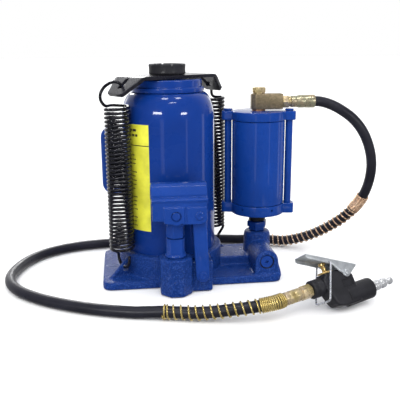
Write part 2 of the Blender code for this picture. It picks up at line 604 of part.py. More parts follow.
link_rise = PLUNGER_PIN_Z - LINK_FOOT_Z
link_length = math.hypot(LINK_TOP_X - LINK_FOOT_X, link_rise)
link_lean = math.degrees(math.atan2(LINK_FOOT_X - LINK_TOP_X, link_rise))
LINK_HALF_WIDTH = 0.0080
for label, near, far in (("front", LINK_INNER, LINK_OUTER), ("rear", -LINK_OUTER, -LINK_INNER)):
    outline = arc((0, 0), LINK_HALF_WIDTH, 180, 360, 8) + arc((0, link_length), LINK_HALF_WIDTH, 0, 180, 8)
    lean = Matrix.Rotation(math.radians(90), 4, "X") @ Matrix.Rotation(math.radians(link_lean), 4, "Z")
    bar = slab(f"pump_link_{label}", outline, near, far, finish=painted(f"link_blue_{label}"),
               location=LINK_FOOT, rotation=lean.to_euler())
    cut(bar, rod(f"foot_eye_{label}", LINK_PIN_R + GAP, -0.02, 0.02, location=LINK_FOOT, rotation=FRONTWARD),
        rod(f"top_eye_{label}", LINK_PIN_R + LINK_CLEARANCE, -0.02, 0.02, location=LINK_TOP, rotation=FRONTWARD))

# ---------------------------------------------------------------- release valve
release = turned("release_valve", [(0, 0.0612), (0.0076, 0.0612), (0.0085, 0.0604), (0.0085, 0.0584),
                                   (0.0066, 0.0584), (0.0066, 0.0330), (0.0020, 0.0280), (0, 0.0280)], 16,
                 finish=painted("release_blue"), location=(MOTOR_X, 0, VALVE_Z), rotation=FRONTWARD)
for turn in (0, 90):
    lean = Matrix.Rotation(math.radians(90), 4, "X") @ Matrix.Rotation(math.radians(turn + 20), 4, "Z")
    cut(release, slab(f"cross_{turn}", rounded_box(-0.0028, 0.0028, -0.0007, 0.0007, 0.0003, 1), 0.0597, 0.0640,
                      location=(MOTOR_X, 0, VALVE_Z), rotation=lean.to_euler()))


# ---------------------------------------------------------------- air motor
def cap_outline():
    """A round cap with one ear each way along local X."""
    meet = math.degrees(math.asin(EAR_HALF_WIDTH / CAP_R))
    corner = 0.0035
    tip, side = EAR_REACH - corner, EAR_TIP_HALF_WIDTH - corner
    outline = arc((0, 0), CAP_R, meet, 180 - meet, 10)
    outline += arc((-tip, side), corner, 90, 180, 2) + arc((-tip, -side), corner, 180, 270, 2)
    outline += arc((0, 0), CAP_R, 180 + meet, 360 - meet, 10)
    outline += arc((tip, -side), corner, 270, 360, 2) + arc((tip, side), corner, 0, 90, 2)
    return outline


on_motor = dict(location=(MOTOR_X, 0, 0))
ear_turn = dict(location=(MOTOR_X, 0, 0), rotation=(0, 0, EAR_ANGLE))
tie_rods = [(side, (MOTOR_X + side * TIE_ROD_AT * math.cos(EAR_ANGLE), side * TIE_ROD_AT * math.sin(EAR_ANGLE), 0))
            for side in (-1, 1)]
for label, (low, high), bore in (("bottom", LOWER_CAP, AIR_BORE_R), ("top", UPPER_CAP, 0.0052)):
    cap = slab(f"motor_{label}_cap", cap_outline(), low, high, finish=painted(f"{label}_cap_blue"), **ear_turn)
    cut(cap, rod(f"{label}_cap_bore", bore, 0.05, 0.23, **on_motor))
    for side, place in tie_rods:
        cut(cap, rod(f"{label}_ear_hole_{side}", TIE_ROD_R + GAP, 0.05, 0.23, steps=12, location=place))
ring("motor_cylinder", MOTOR_BORE_R, MOTOR_R, LOWER_CAP[1] + GAP, UPPER_CAP[0] - GAP, finish=painted("motor_blue"),
     **on_motor)
for side, place in tie_rods:
    head = UPPER_CAP[1] + GAP
    turned("tie_bolt_left" if side < 0 else "tie_bolt_right",
           [(0, head + 0.0024), (0.0050, head + 0.0024), (0.0060, head + 0.0017), (0.0060, head), (TIE_ROD_R, head),
            (TIE_ROD_R, LOWER_CAP[0] - 0.0010), (0, LOWER_CAP[0] - 0.0010)], 16,
           finish=painted(f"tie_blue_{side}"), location=place)
turned("motor_neck", [(0.0100, LOWER_CAP[0] - GAP), (0.01075, LOWER_CAP[0] - 0.001), (0.01075, 0.0640),
                      (0.0082, 0.0632), (0.0082, 0.0360), (AIR_BORE_R, 0.0360), (AIR_BORE_R, LOWER_CAP[0] - GAP)],
       16, finish=black("neck_black"), **on_motor)
nut = slab("motor_lock_nut", polygon(6, 0.0118, 10), TOWER_TOP + 0.0006, 0.0628, finish=painted("lock_nut_blue"),
           bevel=0.0012, **on_motor)
cut(nut, rod("lock_nut_bore", 0.0085, 0.04, 0.08, **on_motor))

piston = turned("motor_piston", [(0.0291, 0.1930), (0.0301, 0.1920), (0.0301, 0.1880), (0.0277, 0.1880),
                                 (0.0277, 0.1820), (0.0301, 0.1820), (0.0301, 0.1760), (0.0285, 0.1750),
                                 (0.0033, 0.1750), (0.0033, 0.1930)], ROUND, finish=steel("piston_alloy"), **on_motor)
ring("motor_piston_seal", 0.0280, 0.0303, 0.1823, 0.1877, finish=rubber("piston_seal"), **on_motor)
turned("air_plunger", [(0, 0.1900), (0.0030, 0.1900), (0.0030, 0.1747), (AIR_PLUNGER_R, 0.1747),
                       (AIR_PLUNGER_R, 0.0460), (0.0042, 0.0450), (0, 0.0450)], SMALL_ROUND,
       finish=steel("plunger_steel"), **on_motor)
wire("motor_return_spring", coil((MOTOR_X, 0), 0.0175, 0.0897, 0.1733, 8, 6), 0.00125, 0, finish=steel("spring_steel"))

# ---------------------------------------------------------------- air inlet on top of the motor
block_outline = [(BLOCK_RIGHT, BLOCK_HALF_DEPTH), (BLOCK_LEFT + 0.0045, BLOCK_HALF_DEPTH),
                 (BLOCK_LEFT, BLOCK_HALF_DEPTH - 0.0045), (BLOCK_LEFT, -BLOCK_HALF_DEPTH + 0.0045),
                 (BLOCK_LEFT + 0.0045, -BLOCK_HALF_DEPTH), (BLOCK_RIGHT, -BLOCK_HALF_DEPTH)]
block = slab("banjo_block", block_outline, BLOCK_BOTTOM, BLOCK_TOP, finish=zinc("block_zinc"), bevel=0.0006)
cut(block, rod("bolt_hole", 0.0052, 0.2, 0.24, **on_motor),
    rod("inlet_hole", 0.0060, 0.1250, 0.1500, location=(0, 0, HOSE_Z), rotation=RIGHTWARD))
ring("banjo_washer", 0.0052, 0.0085, UPPER_CAP[1] + GAP, BLOCK_BOTTOM - GAP, SMALL_ROUND,
     finish=brass("washer_copper"), **on_motor)
bolt = slab("banjo_bolt", polygon(6, 0.0072, 12), BLOCK_TOP + GAP, 0.2350, finish=zinc("bolt_zinc"), bevel=0.0008,
            **on_motor)
join(bolt, rod("bolt_shank", 0.0048, 0.1965, 0.2280, **on_motor))
nut_left, nut_right = BLOCK_RIGHT + GAP, 0.1550
hose_nut = slab("hose_nut", polygon(6, 0.0075, 30), nut_left, nut_right, finish=zinc("nut_zinc"), bevel=0.0008,
                location=(0, 0, HOSE_Z), rotation=RIGHTWARD)
join(hose_nut, rod("nut_stub", 0.0056, 0.1290, 0.1450, location=(0, 0, HOSE_Z), rotation=RIGHTWARD))
turned("hose_ferrule", [(0, FERRULE_END_X), (0.0078, FERRULE_END_X), (0.0083, FERRULE_END_X - 0.0006),
                        (0.0083, 0.1660), (0.0076, 0.1650), (0.0070, 0.1620), (0.0070, nut_right + GAP),
                        (0, nut_right + GAP)], 16,
       finish=zinc("ferrule_zinc"), location=(0, 0, HOSE_Z), rotation=RIGHTWARD)

# ---------------------------------------------------------------- hand valve on the hose's end
VALVE_TURN = Euler((-VALVE_ROLL, -VALVE_PITCH, VALVE_HEADING))
valve_frame = empty("valve_frame", VALVE_PLACE, VALVE_TURN)
in_valve = dict(parent=valve_frame)
BARREL_AT = 0.0265                # along the valve, the axis of its stem
COLLAR_LENGTH, BODY_FLOOR = 0.0145, -0.0286

body_outline = [(COLLAR_LENGTH + GAP, 0.0118), (0.0400, 0.0118), (0.0520, 0.0058), (0.0545, 0.0020), (0.0545, -0.0150),
                (0.0545, BODY_FLOOR + 0.0010), (0.0535, BODY_FLOOR), (0.0340, BODY_FLOOR), (0.0235, -0.0260),
                (0.0205, -0.0225)]
valve = slab("valve_body", body_outline, -0.0100, 0.0100, finish=black("valve_black"), bevel=0.0026,
             rotation=FRONTWARD, **in_valve)
join(valve, rod("outlet_tube", OUTLET_R, 0.040, OUTLET_END, steps=24, chamfer=0.001,
                location=(0, 0, -OUTLET_DROP), rotation=RIGHTWARD, **in_valve))
cut(valve,
    rod("stem_bore", 0.0046, -0.0050, 0.03, location=(BARREL_AT, 0, 0), **in_valve),
    rod("inlet_socket", 0.0062, 0.0100, 0.0205, rotation=RIGHTWARD, **in_valve),
    rod("plug_socket", 0.0056, 0.0500, 0.0800, location=(0, 0, -OUTLET_DROP), rotation=RIGHTWARD, **in_valve),
    rod("lever_pin_hole", 0.0020 + GAP, -0.03, 0.03, steps=12, location=(LEVER_PIVOT[0], 0, LEVER_PIVOT[1]),
        rotation=FRONTWARD, **in_valve))
turned("valve_collar", [(0.0092, COLLAR_LENGTH), (0.0102, COLLAR_LENGTH - 0.001), (0.0102, 0.001), (0.0092, 0),
                        (0.0060, 0), (0.0060, COLLAR_LENGTH)], 20, finish=black("collar_black"),
       rotation=RIGHTWARD, **in_valve)
turned("hose_end_fitting",
       [(0, 0.0185), (0.0055, 0.0185), (0.0055, -0.0003), (0.0074, -0.0003), (0.0080, -0.0010), (0.0080, -0.0130),
        (0.0072, -0.0140), (0.0072, -FITTING_LENGTH + 0.001), (0.0066, -FITTING_LENGTH), (0, -FITTING_LENGTH)], 12,
       finish=zinc("fitting_zinc"), rotation=RIGHTWARD, **in_valve)
turned("valve_plug",
       [(0, 0.0355), (0.0030, 0.0355), (0.0046, 0.0328), (0.0046, 0.0295), (0.0032, 0.0270), (0.0032, 0.0235),
        (0.0060, 0.0210), (0.0060, 0.0160), (0.0050, 0.0140), (0.0062, 0.0115), (0.0068, 0.0004), (0.0053, 0.0004),
        (0.0053, -0.0100), (0, -0.0100)], SMALL_ROUND, finish=steel("plug_chrome"),
       location=(OUTLET_END, 0, -OUTLET_DROP), rotation=RIGHTWARD, **in_valve)
turned("stem_guide", [(0.0080, 0.0141), (0.0086, 0.0136), (0.0086, 0.0121), (0.0043, 0.0121), (0.0043, 0.0010),
                      (0.0030, 0.0010), (0.0030, 0.0141)], SMALL_ROUND, finish=brass("guide_brass"),
       location=(BARREL_AT, 0, 0), **in_valve)
turned("valve_stem", [(0, 0.0245), (0.0022, 0.0245), (0.0042, 0.0236), (0.0042, 0.0213), (0.0026, 0.0209),
                      (0.0026, 0.0000), (0, 0.0000)], SMALL_ROUND, finish=brass("stem_brass"),
       location=(BARREL_AT, 0, 0), **in_valve)

# lever: a channel over the body, on a pin through its two ears
LEVER_SLOPE = math.radians(-25.2)
LEVER_TIP, LEVER_END = -0.0525, 0.0125               # along the lever from its pivot
LEVER_ROOF, LEVER_HALF_WIDTH, LEVER_SHEET = 0.0117, 0.0122, 0.0013
lever_turn = Matrix.Rotation(math.radians(90), 4, "X") @ Matrix.Rotation(LEVER_SLOPE, 4, "Z")
lever_place = (LEVER_PIVOT[0], 0, LEVER_PIVOT[1])
side_outline = [(LEVER_TIP, LEVER_ROOF), (LEVER_TIP + 0.001, LEVER_ROOF - 0.0052), (-0.020, LEVER_ROOF - 0.0062),
                (-0.0070, -0.0030)] + arc((0, 0), 0.0052, 215, 320, 4) + [(LEVER_END, LEVER_ROOF - 0.004),
                                                                         (LEVER_END, LEVER_ROOF)]
lever = slab("valve_lever", side_outline, -LEVER_HALF_WIDTH, LEVER_HALF_WIDTH, finish=zinc("lever_zinc"),
             location=lever_place, rotation=lever_turn.to_euler(), **in_valve)
inside = [(LEVER_TIP - 0.01, -0.02), (LEVER_END - LEVER_SHEET, -0.02),
          (LEVER_END - LEVER_SHEET, LEVER_ROOF - LEVER_SHEET), (LEVER_TIP - 0.01, LEVER_ROOF - LEVER_SHEET)]
cut(lever, slab("lever_hollow", inside, LEVER_SHEET - LEVER_HALF_WIDTH, LEVER_HALF_WIDTH - LEVER_SHEET,
                location=lever_place, rotation=lever_turn.to_euler(), **in_valve),
    rod("lever_eye", 0.0020 + GAP, -0.03, 0.03, steps=12, location=lever_place, rotation=FRONTWARD, **in_valve))
turned("lever_pin", [(0, 0.0138), (0.0030, 0.0138), (0.0036, 0.0132), (0.0036, LEVER_HALF_WIDTH + GAP),
                     (0.0020, LEVER_HALF_WIDTH + GAP), (0.0020, -0.0134), (0, -0.0134)], 12,
       finish=zinc("lever_pin_zinc"), location=lever_place, rotation=FRONTWARD, **in_valve)

# bail: a wire hanging from the lever, round the body's rear, with its ends turned in through the lever
BAIL_TOP, BAIL_FOOT, BAIL_R = (0.0290, 0.0222), (0.0095, -0.0172), 0.0011
bail_half = LEVER_HALF_WIDTH + 0.0022
cut(lever, rod("bail_eye", BAIL_R + GAP, -0.03, 0.03, steps=12, location=(BAIL_TOP[0], 0, BAIL_TOP[1]),
               rotation=FRONTWARD, **in_valve))
drop = (BAIL_FOOT[0] - BAIL_TOP[0], BAIL_FOOT[1] - BAIL_TOP[1])
bail_points = [(0, -bail_half + 0.0035, 0), (0, -bail_half, 0), (drop[0] * 0.93, -bail_half, drop[1] * 0.93),
               (drop[0], -bail_half + 0.003, drop[1]), (drop[0], bail_half - 0.003, drop[1]),
               (drop[0] * 0.93, bail_half, drop[1] * 0.93), (0, bail_half, 0), (0, bail_half - 0.0035, 0)]
bail = wire("lever_bail", [Vector(p) for p in bail_points], BAIL_R, 1, finish=zinc("bail_zinc"),
            parent=valve_frame)
bail.location = (BAIL_TOP[0], 0, BAIL_TOP[1])

# ---------------------------------------------------------------- air hose and its spring guards
valve_axis = VALVE_TURN.to_matrix() @ Vector((1, 0, 0))
hose_end = VALVE_PLACE - valve_axis * (FITTING_LENGTH + GAP)
route = [Vector(p) for p in HOSE_ROUTE] + [hose_end - valve_axis * 0.008, hose_end]
route_line = smooth(route, 400)
route_length = lengths(route_line)[-1]
GUARDED = (REAR_GUARD, (route_length - FRONT_GUARD, route_length))


def rest_height(distance):
    """Lowest height of the hose's axis, which is greater where a guard lies between it and the floor."""
    outside = min(max(start - distance, distance - end, 0.0) for start, end in GUARDED)
    return HOSE_R + 0.0003 + (GUARD_CLEARANCE + GUARD_WALL) * max(0.0, 1 - outside / 0.030)


for distance, point in zip(lengths(route_line), route_line):
    point.z = max(point.z, rest_height(distance))
hose_points = resample(route_line, 62)
hose_points.insert(1, hose_points[0] + Vector((0.003, 0, 0)))
hose_points.insert(-1, hose_end - valve_axis * 0.003)
wire("air_hose", hose_points, HOSE_R, 2, finish=rubber("hose_black"))
along_hose = lengths(hose_points)


def guard(name, start, end, finish):
    """The outer sleeve of a guard spring round the hose, between two distances along it."""
    middle = [point_at(hose_points, along_hose, start)]
    middle += [p for p, distance in zip(hose_points, along_hose) if start + 0.002 < distance < end - 0.002]
    middle.append(point_at(hose_points, along_hose, end))
    curve = bpy.data.curves.new(name, "CURVE")
    curve.dimensions = "3D"
    curve.bevel_depth = HOSE_R + GUARD_CLEARANCE
    curve.bevel_resolution = 2
    spline = curve.splines.new("POLY")
    spline.points.add(len(middle) - 1)
    for point, place in zip(spline.points, middle):
        point.co = (*place, 1)
    draft = bpy.data.objects.new(name + "_draft", curve)
    jack.objects.link(draft)
    sleeve = link(name, solid_from_curve(draft), finish=finish)
    wall = sleeve.modifiers.new("wall", "SOLIDIFY")
    wall.thickness = GUARD_WALL
    wall.offset = 1


guard("hose_guard_rear", *REAR_GUARD, brass("rear_guard_copper"))
guard("hose_guard_front", along_hose[-1] - FRONT_GUARD, along_hose[-1] - 0.0004, brass("front_guard_zinc"))
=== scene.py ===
"""Air and hydraulic bottle jack: the visual model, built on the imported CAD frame.

Metres, in the frame of the CAD: origin under the ram on the floor, +X to the air motor, -Y to the front.
"""
import json
import math

import bmesh
import bpy
from mathutils import Matrix, Vector


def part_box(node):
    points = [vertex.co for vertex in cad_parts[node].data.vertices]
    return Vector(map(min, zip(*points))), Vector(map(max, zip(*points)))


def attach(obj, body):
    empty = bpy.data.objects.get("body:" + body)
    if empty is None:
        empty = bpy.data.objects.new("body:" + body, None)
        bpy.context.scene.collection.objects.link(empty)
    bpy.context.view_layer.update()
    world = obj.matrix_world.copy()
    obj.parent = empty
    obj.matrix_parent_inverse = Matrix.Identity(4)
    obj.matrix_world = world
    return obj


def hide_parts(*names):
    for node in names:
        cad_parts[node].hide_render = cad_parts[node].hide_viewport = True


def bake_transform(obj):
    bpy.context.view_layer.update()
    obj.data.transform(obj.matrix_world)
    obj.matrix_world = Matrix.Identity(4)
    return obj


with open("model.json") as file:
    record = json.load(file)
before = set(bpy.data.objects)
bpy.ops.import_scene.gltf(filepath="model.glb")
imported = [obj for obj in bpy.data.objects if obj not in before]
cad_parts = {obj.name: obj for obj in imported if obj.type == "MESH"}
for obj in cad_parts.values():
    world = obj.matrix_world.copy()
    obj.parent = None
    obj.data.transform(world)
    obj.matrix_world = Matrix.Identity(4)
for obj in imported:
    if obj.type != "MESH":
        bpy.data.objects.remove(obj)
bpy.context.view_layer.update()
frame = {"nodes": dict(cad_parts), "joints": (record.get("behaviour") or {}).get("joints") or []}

# ---- places, read from the frame
JOINTS = {joint["name"]: joint for joint in frame["joints"]}
MM = 0.001
GAP = 0.3 * MM

def low(node):
    return Vector(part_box(node)[0])

def high(node):
    return Vector(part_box(node)[1])

def middle(node):
    return (low(node) + high(node)) / 2

TANK_R = high("reservoir_tank").x
MOTOR_X = middle("motor_cylinder").x
HOSE_Z = middle("hose_ferrule").z
PUMP_Y = middle("pump_cylinder").y
SPRING_DEGREES = 32.5
SPRING_AXIS_R = 0.0738

# ---- camera
camera_data = bpy.data.cameras.new("photo_view")
camera_data.lens = 55.7
camera_data.sensor_width = 36.0
camera = bpy.data.objects.new("photo_view", camera_data)
bpy.context.scene.collection.objects.link(camera)
camera.location = (-0.0568, -0.7686, 0.2887)
looks = Vector((0.1208, 0.9617, -0.2463)).normalized()
roll = Matrix.Rotation(math.radians(-0.41), 3, "Z").to_quaternion()
camera.rotation_euler = (looks.to_track_quat("-Z", "Y") @ roll).to_euler()
camera_data.shift_x, camera_data.shift_y = -0.0012, 0.0012
bpy.context.scene.camera = camera

# ---- mesh helpers
def piece(name, mesh, finish, body, *stands_for, crease=38):
    """Add a finished piece: it rides on a body and may stand for nodes. Edges over the crease stay sharp."""
    obj = loose(name, mesh) if isinstance(mesh, bmesh.types.BMesh) else mesh
    obj.name = name
    obj.data.name = name
    obj.data.shade_smooth()
    obj.data.set_sharp_from_angle(angle=math.radians(crease))
    obj.data.materials.clear()
    obj.data.materials.append(finish)
    if body:
        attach(obj, body)
    if stands_for:
        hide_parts(*stands_for)
    return obj

def loose(name, shape, place=None):
    """An object from a bmesh, for more work before it becomes a piece."""
    bmesh.ops.recalc_face_normals(shape, faces=shape.faces)
    data = bpy.data.meshes.new(name)
    shape.to_mesh(data)
    shape.free()
    if place is not None:
        data.transform(place)
    obj = bpy.data.objects.new(name, data)
    bpy.context.scene.collection.objects.link(obj)
    return obj

def settle(obj):
    """Apply all modifiers of an object."""
    bpy.context.view_layer.update()
    graph = bpy.context.evaluated_depsgraph_get()
    made = bpy.data.meshes.new_from_object(obj.evaluated_get(graph))
    obj.modifiers.clear()
    obj.data = made
    return obj

def boolean(obj, others, operation="DIFFERENCE"):
    """Cut or join an object with others, which are used up."""
    for other in others:
        step = obj.modifiers.new("step", "BOOLEAN")
        step.operation = operation
        step.solver = "EXACT"
        step.object = other
    settle(obj)
    for other in others:
        bpy.data.objects.remove(other, do_unlink=True)
    return obj

def rounded_edges(obj, width, segments=3, angle=35):
    """Round the edges of an object that are sharper than an angle."""
    step = obj.modifiers.new("edges", "BEVEL")
    step.width = width
    step.segments = segments
    step.limit_method = "ANGLE"
    step.angle_limit = math.radians(angle)
    step.use_clamp_overlap = True
    return settle(obj)

def cast(objects, voxel, passes):
    """Fuse overlapping solids into one casting with soft corners."""
    shape = bmesh.new()
    for obj in objects:
        obj.data.transform(obj.matrix_world)
        shape.from_mesh(obj.data)
        bpy.data.objects.remove(obj, do_unlink=True)
    fused = loose("fused", shape)
    grid = fused.modifiers.new("fuse", "REMESH")
    grid.mode = "VOXEL"
    grid.voxel_size = voxel
    ease = fused.modifiers.new("ease", "SMOOTH")
    ease.factor = 0.5
    ease.iterations = passes
    return settle(fused)

def moved(shape, matrix):
    bmesh.ops.transform(shape, matrix=matrix, verts=shape.verts)
    return shape

def merged(*shapes):
    """Several closed shapes in one mesh."""
    whole = bmesh.new()
    for shape in shapes:
        data = bpy.data.meshes.new("part")
        shape.to_mesh(data)
        shape.free()
        whole.from_mesh(data)
        bpy.data.meshes.remove(data)
    return whole

def mm(*points):
    """Flat points given in millimetres."""
    return [(x * MM, y * MM) for x, y in points]

def at(x=0.0, y=0.0, z=0.0):
    return Matrix.Translation((x, y, z))

def turn(degrees, axis="Z"):
    return Matrix.Rotation(math.radians(degrees), 4, axis)

FRONTWARD = turn(90, "X")               # lays local Z along -Y, with local Y up
RIGHTWARD = turn(90, "Y")               # lays local Z along +X
OVER_MOTOR, OVER_PUMP = at(x=MOTOR_X), at(y=PUMP_Y)
ON_INLET = at(z=HOSE_Z) @ RIGHTWARD

def arc(centre, radius, start, end, count):
    """Points on an arc, angles in degrees."""
    angles = [math.radians(start + (end - start) * i / count) for i in range(count + 1)]
    return [Vector((centre[0] + radius * math.cos(a), centre[1] + radius * math.sin(a))) for a in angles]

def soften(points, radius, steps=4, closed=False):
    """Round the corners of a line of points."""
    points = [Vector(p) for p in points]
    rounded = []
    for i, corner in enumerate(points):
        if not closed and i in (0, len(points) - 1):
            rounded.append(corner)
            continue
        before, after = points[i - 1] - corner, points[(i + 1) % len(points)] - corner
        cut = min(radius, before.length * 0.48, after.length * 0.48)
        start, end = corner + before.normalized() * cut, corner + after.normalized() * cut
        for k in range(steps + 1):
            t = k / steps
            rounded.append(start * (1 - t) ** 2 + corner * 2 * t * (1 - t) + end * t * t)
    return rounded

def box_outline(left, right, bottom, top):
    return [(left, bottom), (right, bottom), (right, top), (left, top)]

def polygon(sides, flat_radius, start=0.0):
    radius = flat_radius / math.cos(math.pi / sides)
    return [Vector((radius * math.cos(math.radians(start + 360 * i / sides)),
        radius * math.sin(math.radians(start + 360 * i / sides)))) for i in range(sides)]

def lathe(profile, segments=96, edge=0.0, steps=3):
    """A solid of revolution about local Z from (radius, height) points. A ring closes on itself."""
    points = soften(profile, edge, steps) if edge else [Vector(p) for p in profile]
    turns = [math.tau * k / segments for k in range(segments)]
    shape = bmesh.new()
    rings = []
    for radius, height in points:
        if radius < 1e-7:
            rings.append([shape.verts.new((0, 0, height))])
        else:
            rings.append([shape.verts.new((radius * math.cos(a), radius * math.sin(a), height))
                for a in turns])
    pairs = list(zip(rings, rings[1:]))
    if profile[0][0] > 1e-7 and profile[-1][0] > 1e-7:
        pairs.append((rings[-1], rings[0]))
    for near, far in pairs:
        for k in range(segments):
            corners = [near[k % len(near)], near[(k + 1) % len(near)], far[(k + 1) % len(far)],
                far[k % len(far)]]
            corners = list(dict.fromkeys(corners))
            if len(corners) > 2:
                shape.faces.new(corners)
    return shape

def stepped(steps, segments=64):
    """A stepped rod about local Z: (radius, from) steps in millimetres, the last gives its end."""
    profile = [(0, steps[0][1] * MM)]
    for (radius, start), (_, end) in zip(steps, steps[1:]):
        profile += [(radius * MM, start * MM), (radius * MM, end * MM)]
    return lathe(profile + [(0, steps[-1][1] * MM)], segments)

def rod(place, steps, segments=64):
    """A stepped rod as an object, to cut or join with."""
    return loose("rod", moved(stepped(steps, segments), place))

def inset(outline, amount):
    """The outline moved inwards; it runs anticlockwise."""
    made = []
    count = len(outline)
    for i, point in enumerate(outline):
        before = (point - outline[i - 1]).normalized()
        after = (outline[(i + 1) % count] - point).normalized()
        normal = Vector((-(before.y + after.y), before.x + after.x))
        normal = normal.normalized() if normal.length > 1e-9 else Vector((-before.y, before.x))
        lean = max(0.35, normal.dot(Vector((-before.y, before.x))))
        made.append(point + normal * (amount / lean))
    return made

def prism(outline, bottom, top, corner=0.0, edge=0.0, steps=3):
    """An outline made solid between two heights, with round corners and rounded rims."""
    outline = [Vector(p) for p in outline]
    area = sum(a.x * b.y - b.x * a.y for a, b in zip(outline, outline[1:] + outline[:1]))
    if area < 0:
        outline = outline[::-1]
    levels = []
    if edge:
        for k in range(steps + 1):
            a = math.pi / 2 * k / steps
            levels.append((edge * (1 - math.sin(a)), bottom + edge * (1 - math.cos(a))))
        for k in range(steps + 1):
            a = math.pi / 2 * (1 - k / steps)
            levels.append((edge * (1 - math.sin(a)), top - edge * (1 - math.cos(a))))
    else:
        levels = [(0.0, bottom), (0.0, top)]
    shape = bmesh.new()
    rings = []
    for shift, z in levels:
        ring = inset(outline, shift) if shift else outline
        if corner:
            ring = soften(ring, max(corner - shift, 0.12 * MM), 4, closed=True)
        rings.append([shape.verts.new((p.x, p.y, z)) for p in ring])
    for near, far in zip(rings, rings[1:]):
        for i in range(len(near)):
            j = (i + 1) % len(near)
            shape.faces.new((near[i], near[j], far[j], far[i]))
    shape.faces.new(rings[0][::-1])
    shape.faces.new(rings[-1])
    return shape

def frames_along(points):
    """Two sideways directions at each point of a line, without twist."""
    directions = []
    for i in range(len(points)):
        a, b = points[max(i - 1, 0)], points[min(i + 1, len(points) - 1)]
        directions.append((b - a).normalized())
    side = directions[0].orthogonal().normalized()
    made = []
    for direction in directions:
        side = (side - direction * side.dot(direction)).normalized()
        made.append((direction, side, direction.cross(side)))
    return made

def sweep(points, radius, sides=12, dome=0.0):
    """A round wire or tube along points, its ends domed a little."""
    shape = bmesh.new()
    rings = []
    turns = [math.tau * k / sides for k in range(sides)]
    for point, (_, u, v) in zip(points, frames_along(points)):
        rings.append([shape.verts.new(point + (u * math.cos(a) + v * math.sin(a)) * radius) for a in turns])
    for near, far in zip(rings, rings[1:]):
        for k in range(sides):
            shape.faces.new((near[k], near[(k + 1) % sides], far[(k + 1) % sides], far[k]))
    for ring, tip, beyond in ((rings[0], points[0], points[0] - points[1]),
            (rings[-1], points[-1], points[-1] - points[-2])):
        end = shape.verts.new(tip + beyond.normalized() * dome)
        for k in range(sides):
            shape.faces.new((ring[k], ring[(k + 1) % sides], end))
    return shape

def threaded(radius, depth, pitch, bottom, top, segments=48):
    """The outer surface of a screw thread about local Z, closed at both ends."""
    profile = [(0.0, depth), (0.15, depth), (0.45, 0.0), (0.70, 0.0)]
    per_turn = len(profile)
    rows = (int((top - bottom) / pitch) + 3) * per_turn
    shape = bmesh.new()
    columns = []
    for k in range(segments):
        shift = pitch * (k / segments - 1)
        column = []
        for i in range(rows + per_turn):
            share, inward = profile[i % per_turn]
            z = bottom + pitch * (i // per_turn + share) + shift
            z = min(max(z, bottom), top)
            a = math.tau * k / segments
            r = radius - inward
            column.append(shape.verts.new((r * math.cos(a), r * math.sin(a), z)))
        columns.append(column)
    for k in range(segments):
        near, far = columns[k], columns[(k + 1) % segments]
        step = per_turn if k == segments - 1 else 0
        for i in range(rows - 1):
            shape.faces.new((near[i + step], near[i + 1 + step], far[i + 1], far[i]))
    return shape

# ---- lines through points
def smooth_line(points, count):
    """Evenly spaced points on a smooth curve through the given points."""
    dense = []
    ends = [points[0] * 2 - points[1]] + list(points) + [points[-1] * 2 - points[-2]]
    for a, b, c, d in zip(ends, ends[1:], ends[2:], ends[3:]):
        knots = [0.0]
        for p, q in ((a, b), (b, c), (c, d)):
            knots.append(knots[-1] + max((q - p).length, 1e-6) ** 0.5)
        for i in range(24):
            t = knots[1] + (knots[2] - knots[1]) * i / 24
            first = between(a, b, knots[0], knots[1], t)
            second = between(b, c, knots[1], knots[2], t)
            third = between(c, d, knots[2], knots[3], t)
            lower = between(first, second, knots[0], knots[2], t)
            upper = between(second, third, knots[1], knots[3], t)
            dense.append(between(lower, upper, knots[1], knots[2], t))
    dense.append(points[-1].copy())
    return resample(dense, count)

def between(p, q, start, end, t):
    return p + (q - p) * ((t - start) / (end - start))

def distances(points):
    total = [0.0]
    for p, q in zip(points, points[1:]):
        total.append(total[-1] + (q - p).length)
    return total

def resample(points, count):
    along = distances(points)
    made = []
    i = 0
    for k in range(count):
        wanted = along[-1] * k / (count - 1)
        while i < len(points) - 2 and along[i + 1] < wanted:
            i += 1
        share = (wanted - along[i]) / max(along[i + 1] - along[i], 1e-12)
        made.append(points[i].lerp(points[i + 1], min(max(share, 0.0), 1.0)))
    return made

# ---- materials
def new_material(name, **sockets):
    """A Principled material; each keyword is a socket's name with _ for a space."""
    made = bpy.data.materials.new(name)
    made.use_nodes = True
    shader = made.node_tree.nodes["Principled BSDF"]
    for key, value in sockets.items():
        shader.inputs[key.replace("_", " ")].default_value = value
    return made

def add(material, kind, **values):
    """Add a node; keywords with _ for a space set its sockets, others its properties."""
    made = material.node_tree.nodes.new(kind)
    for key, value in values.items():
        if hasattr(made, key):
            setattr(made, key, value)
        else:
            made.inputs[key.replace("_", " ")].default_value = value
    return made

def wire_up(material, source, target):
    material.node_tree.links.new(source, target)

def noise(material, scale, detail=3.0, roughness=0.5, stretch=(1, 1, 1)):
    """Noise in the object's own space, in cycles per metre."""
    place = add(material, "ShaderNodeTexCoord")
    mapping = add(material, "ShaderNodeMapping")
    mapping.inputs["Scale"].default_value = stretch
    wire_up(material, place.outputs["Object"], mapping.inputs["Vector"])
    pattern = add(material, "ShaderNodeTexNoise", Scale=scale, Detail=detail, Roughness=roughness)
    wire_up(material, mapping.outputs["Vector"], pattern.inputs["Vector"])
    return pattern.outputs["Fac"]

def ramp(material, source, stops):
    """A colour ramp over a value: stops are (position, colour)."""
    made = add(material, "ShaderNodeValToRGB")
    made.color_ramp.elements[0].position = stops[0][0]
    made.color_ramp.elements[0].color = (*stops[0][1], 1)
    made.color_ramp.elements[1].position = stops[-1][0]
    made.color_ramp.elements[1].color = (*stops[-1][1], 1)
    for position, colour in stops[1:-1]:
        made.color_ramp.elements.new(position).color = (*colour, 1)
    wire_up(material, source, made.inputs["Fac"])
    return made.outputs["Color"]

